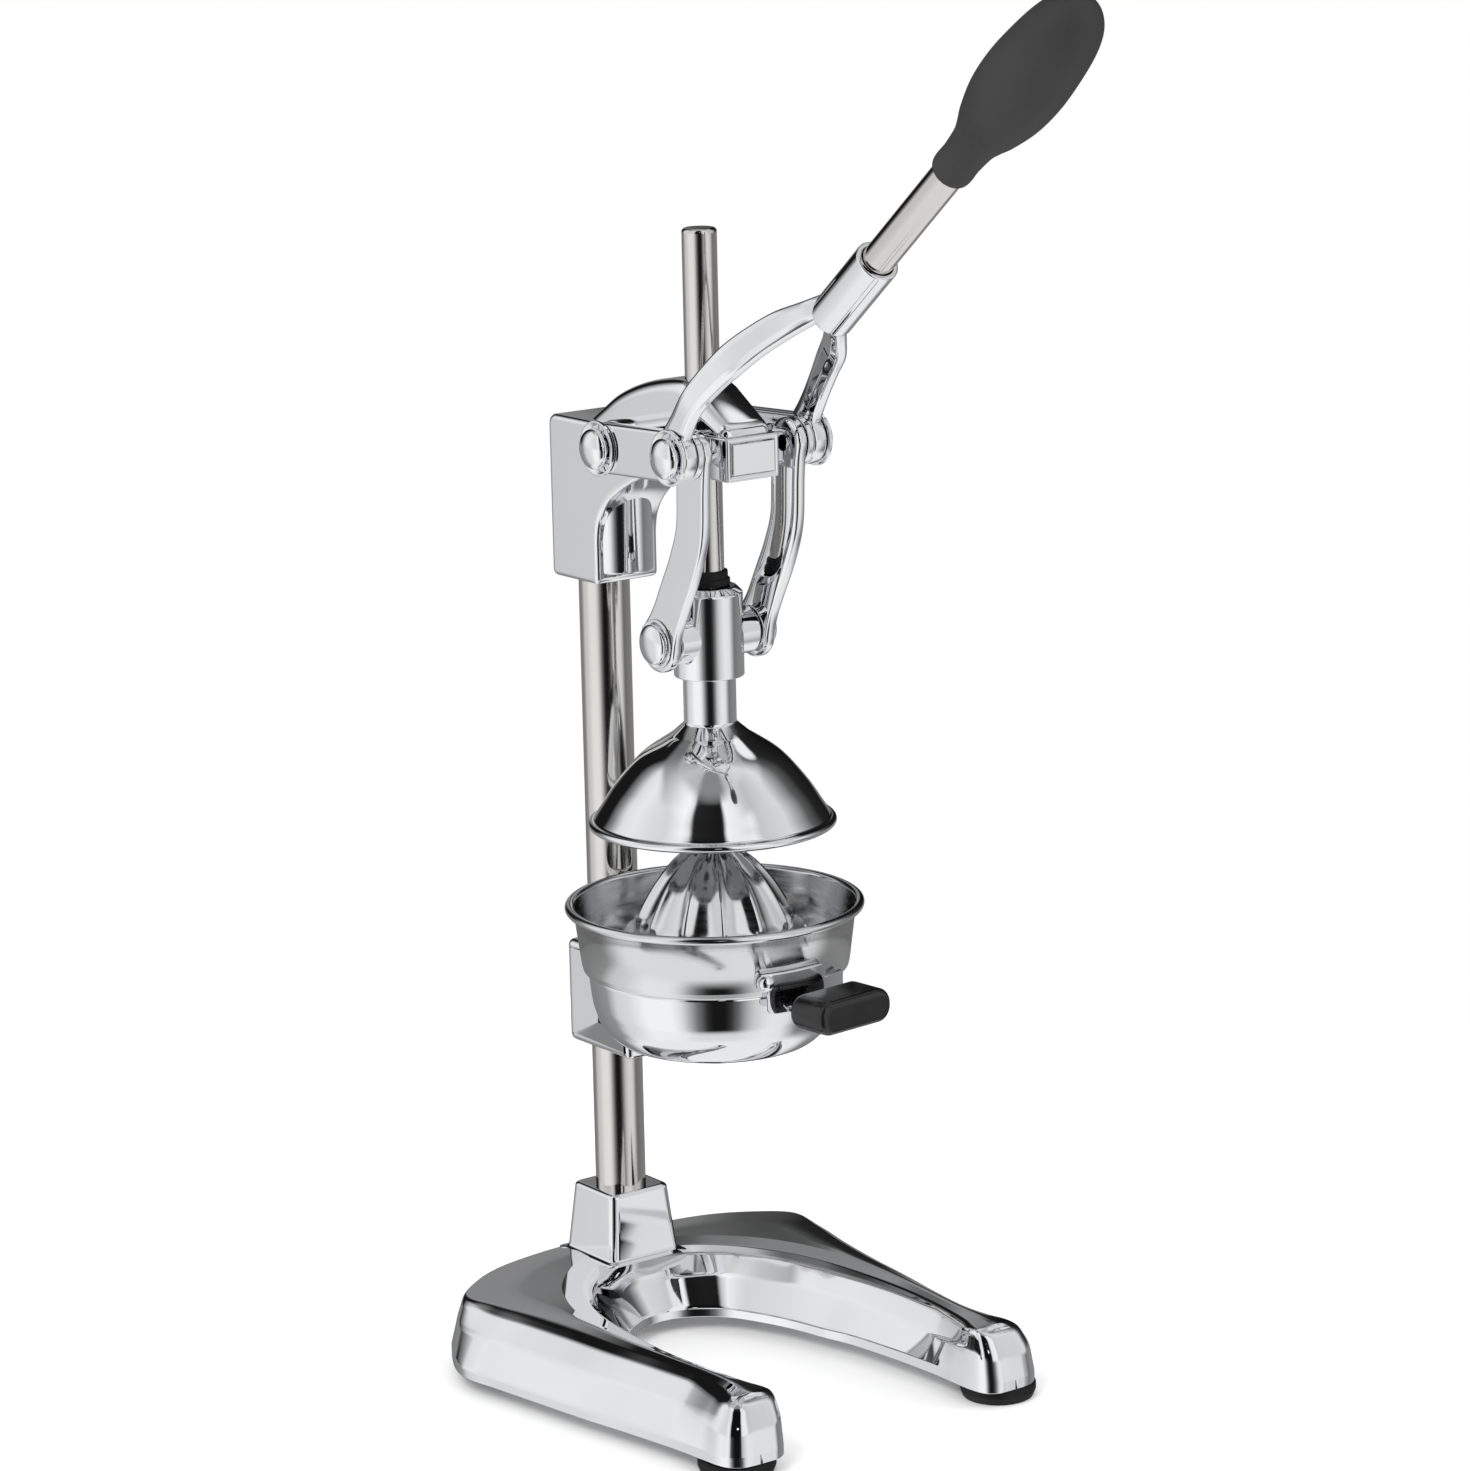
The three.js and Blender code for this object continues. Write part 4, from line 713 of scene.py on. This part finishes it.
dome_out = through([(47.2, 231.9), (44.6, 236), (38.2, 245.6), (28.6, 256.6), (18.2, 264), (12.3, 267.6)], 8)
neck = rounded([dome_out[-5], (10.5, 270.2), (10.5, 288.7), (7.2, 288.7), (7.2, 269.1), (0, 269.1)],
               [0, 1.6, .5, .3, .1, 0], False, steps=7)[1:]
bead_turn = np.radians(np.linspace(112, -200, 26))
bead = np.stack([47.95 + 1.6 * np.cos(bead_turn), 229.8 + 1.6 * np.sin(bead_turn)], -1)
inner_line = dome_out[:-12] - np.array([1.45, .9])
roof_line = rounded([tuple(inner_line[-1]), (12, 264.1), (0, 264.1)], [0, 4, 0], False)[1:]
dome_profile = np.concatenate([[(0, 264.1)], roof_line[::-1][1:], inner_line[::-1], bead[::-1], dome_out[1:-5],
                               neck])
dome = add_mesh("dome_shell", turned(dome_profile, 160))
finish_piece(dome, chrome, "ram", "chrome", "press_dome")

# Bowl holder: a chromed cup cast with the block that clamps the column.
cup_line = np.array([[.682, 0], [.78, .049], [.906, .262], [.959, .492], [.98, .672], [1, 1]])
cup_foot, cup_wall = 139.5, 2.5
cup_out = through(cup_line * np.array([51.3, 30.5]) + np.array([0, cup_foot]), 6)
cup_inward = square_to(cup_out)
cup_in = cup_out + cup_inward * cup_wall
cup_in[-1] = (cup_out[-1, 0] - cup_wall, cup_out[-1, 1])
cup_floor = cup_foot + cup_wall
cup_profile = np.concatenate([[(22.3, cup_foot), (34, cup_foot)], cup_out[:-1],
                              [(51.25, 169.6), (50.9, 170), (49.2, 170), (48.85, 169.7)], cup_in[::-1][1:],
                              [(34, cup_floor), (22.3, cup_floor)]])
holder_block = np.array([(43, 122.5), (43, 143), (47.2, 152), (47.4, 166), (85.8, 166), (85.8, 122.5)])
holder = add_mesh("holder_body", turned(cup_profile, 160, closed=True),
                  side_slab(rounded(holder_block, [1.6, 1, 1, 1.6, 3, 3]), -14, 14, 2.6))
finish_piece(holder, chrome, "root", "chrome", "bowl_holder")

# Bowl: spun from one sheet of stainless steel, with a rolled rim, a ledge that rests on the cup and a spout.
spun, shader, where = new_material("spun_steel", 1)
flatter = where.node("ShaderNodeMapping", None, {"Vector": where, "Scale": (.03, .03, 1.0)})
rings, haze = flatter.noise(700.0, 1.0), where.noise(30.0, 3.0)
feed(shader, haze.mix((.70, .705, .715, 1), (.75, .755, .765, 1)), "Base Color")
feed(shader, rings.band(.3, .7, .1, .17) + haze.band(.5, .75, 0, .03), "Roughness")
feed(shader, rings.bump(.006), "Normal")

nest_inset, bowl_sheet = 3.0, 1.2
bowl_nest = cup_out + cup_inward * nest_inset
bowl_nest = bowl_nest[bowl_nest[:, 1] < 168]
spout_top = float(bowl_nest[0, 1])
spout = [(9, 131.2), (9, spout_top - 2), (9.6, spout_top - .6), (11, spout_top)]
bowl_wall = rounded([(48.3, 168.5), (48.3, 170.3), (53.2, 170.3), (53.8, 172.7), (56.4, 194.5)],
                    [0, .5, .7, 3, 0], False)[1:]
bowl_out = np.concatenate([spout, bowl_nest, bowl_wall])
bowl_in = bowl_out + square_to(bowl_out) * bowl_sheet
rim_turn = np.radians(np.linspace(235, -60, 24))
rim_out = np.stack([58.2 + 1.8 * np.cos(rim_turn), 195.5 + 1.8 * np.sin(rim_turn)], -1)
bowl_profile = np.concatenate([bowl_out[:-1], [(56.5, 193.4)], rim_out[::-1][:-4], bowl_in[::-1][1:]])
bowl = add_mesh("bowl_shell", turned(bowl_profile, 160, closed=True))
finish_piece(bowl, spun, "bowl", "bowl_steel", "juice_bowl")

# Bowl handle: a chromed bracket riveted to the bowl, with an apron below the ledge and a tang that carries
# a moulded plastic pad with round ends.
handle_turn = math.radians(6)
handle_out = np.array([math.sin(handle_turn), -math.cos(handle_turn), 0])
handle_side = np.array([math.cos(handle_turn), math.sin(handle_turn), 0])


def by_handle(points):
    """From the handle's own axes (X across, Y inward, Z up) to the press's axes."""
    points = np.asarray(points, float)
    return (points[..., :1] * handle_side - points[..., 1:2] * handle_out
            + points[..., 2:3] * np.array([0, 0, 1]))


def around_bowl(start, end, low, high, corner):
    """A band about the bowl's axis between two turns and two levels, with round corners. Nearer to an end than
    the corner radius, the half height shrinks by the radius less the root of its square minus the square of
    what the distance falls short of it."""
    band_radius, half_thickness = 55.6, .7
    share = (1 - np.cos(np.linspace(0, math.pi, 56))) / 2
    angle = np.radians(start + (end - start) * share)
    from_end = np.minimum(np.minimum(share, 1 - share) * np.radians(end - start) * band_radius, corner)
    half = (high - low) / 2 - corner + np.sqrt(np.maximum(corner**2 - (corner - from_end)**2, 0))
    section = np.array([rectangle(half_thickness, h, .4, 4) for h in half])
    section = section + np.array([band_radius, (low + high) / 2])
    radius = section[..., 0]
    grid = np.stack([radius * np.sin(angle)[:, None], -radius * np.cos(angle)[:, None], section[..., 1]], -1)
    points, faces = skin(grid, capped=True)
    return by_handle(points), faces


tang_outline = rounded([(-55.4, 165.8), (-73.6, 165.8), (-73.6, 163.4), (-55.4, 163.4)], .4)
tang_points, tang_faces = skin(slab(tang_outline, -12, 12, .5)[..., [2, 0, 1]], capped=True)
bracket = add_mesh("bracket_body", around_bowl(-25.5, 8, 173, 180, 2.6), around_bowl(-21, 21, 163.4, 174.4, 2),
                   (by_handle(tang_points), tang_faces))
finish_piece(bracket, chrome, "bowl", "chrome", "handle_bracket")

pad_black, shader, where = new_material("pad_plastic")
pebble, wear = where.noise(1200.0, 2.0), where.noise(60.0, 3.0)
feed(shader, wear.mix((.005, .005, .006, 1), (.010, .010, .011, 1)), "Base Color")
feed(shader, wear.band(.3, .7, .15, .25), "Roughness")
feed(shader, pebble.bump(.12), "Normal")
pad_outline = rectangle(19, 6.9, 6.8, 9) + np.array([0, 166.1])
pad_points, pad_faces = skin(slab(pad_outline, -82, -62.5, 2.8, 7)[..., [0, 2, 1]], capped=True)
pad = add_mesh("handle_pad", (by_handle(pad_points), pad_faces))
finish_piece(pad, pad_black, "bowl", "black_plastic", "handle_grip")

rivet_turn, rivet_level = math.radians(-21.6), 176.5
ball = np.radians(np.linspace(0, 90, 12))
rivet_line = np.concatenate([[(0, 51.5), (3, 51.5), (3, 52.9), (2, 52.95), (2, 56.4), (3, 56.4), (3.2, 56.6)],
                             np.stack([3.2 * np.cos(ball), 56.75 + 2.2 * np.sin(ball)], -1)])
rivet_points, rivet_faces = turned(rivet_line, 48)
rivet_out = np.array([math.sin(rivet_turn), -math.cos(rivet_turn), 0])
rivet_side = np.array([math.cos(rivet_turn), math.sin(rivet_turn), 0])
rivet_points = (rivet_points[:, 2:3] * rivet_out + rivet_points[:, :1] * rivet_side
                + rivet_points[:, 1:2] * np.array([0, 0, 1]))
rivet = add_mesh("rivet_body", (by_handle(rivet_points + np.array([0, 0, rivet_level])), rivet_faces))
finish_piece(rivet, chrome, "bowl", "chrome", "handle_rivet")

# Strainer and reamer: a pressed and slotted steel plate on the bowl's ledge, and a ribbed steel cone on it.
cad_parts["strainer_plate"].material_slots[0].material = spun


def reamer_cone():
    """Height follows a rounded cone; the radius at each turn adds 12 ribs that fade out towards the tip."""
    line = through([(1, 0), (.97, .1), (.86, .32), (.68, .58), (.44, .82), (.2, .96), (0, 1)], 8)
    wide, level = np.maximum(line[:, :1], 0), line[:, 1:]
    angle = np.linspace(0, 2 * math.pi, 192, endpoint=False)
    ridge = (1 - np.abs(np.sin(6 * angle))) ** 1.3 * 2 - 1
    rib_height = 1.6
    ribs = rib_height * ridge * np.minimum(1, 2 * wide) * np.minimum(level * 9, 1)
    radius = np.maximum(wide * 33 - rib_height * np.minimum(1, wide * 3) + ribs, 0)
    grid = np.stack([radius * np.cos(angle), radius * np.sin(angle), 186.1 + level * 35.5 + 0 * angle], -1)
    floor_ring = grid[:1] * np.array([.35, .35, 1])
    return skin(np.concatenate([floor_ring, grid]))


reamer = add_mesh("reamer_body", reamer_cone(), turned(bar_line(11.5, 181.1, 190), 64))
finish_piece(reamer, spun, "bowl", "bowl_steel", "reamer_cone")
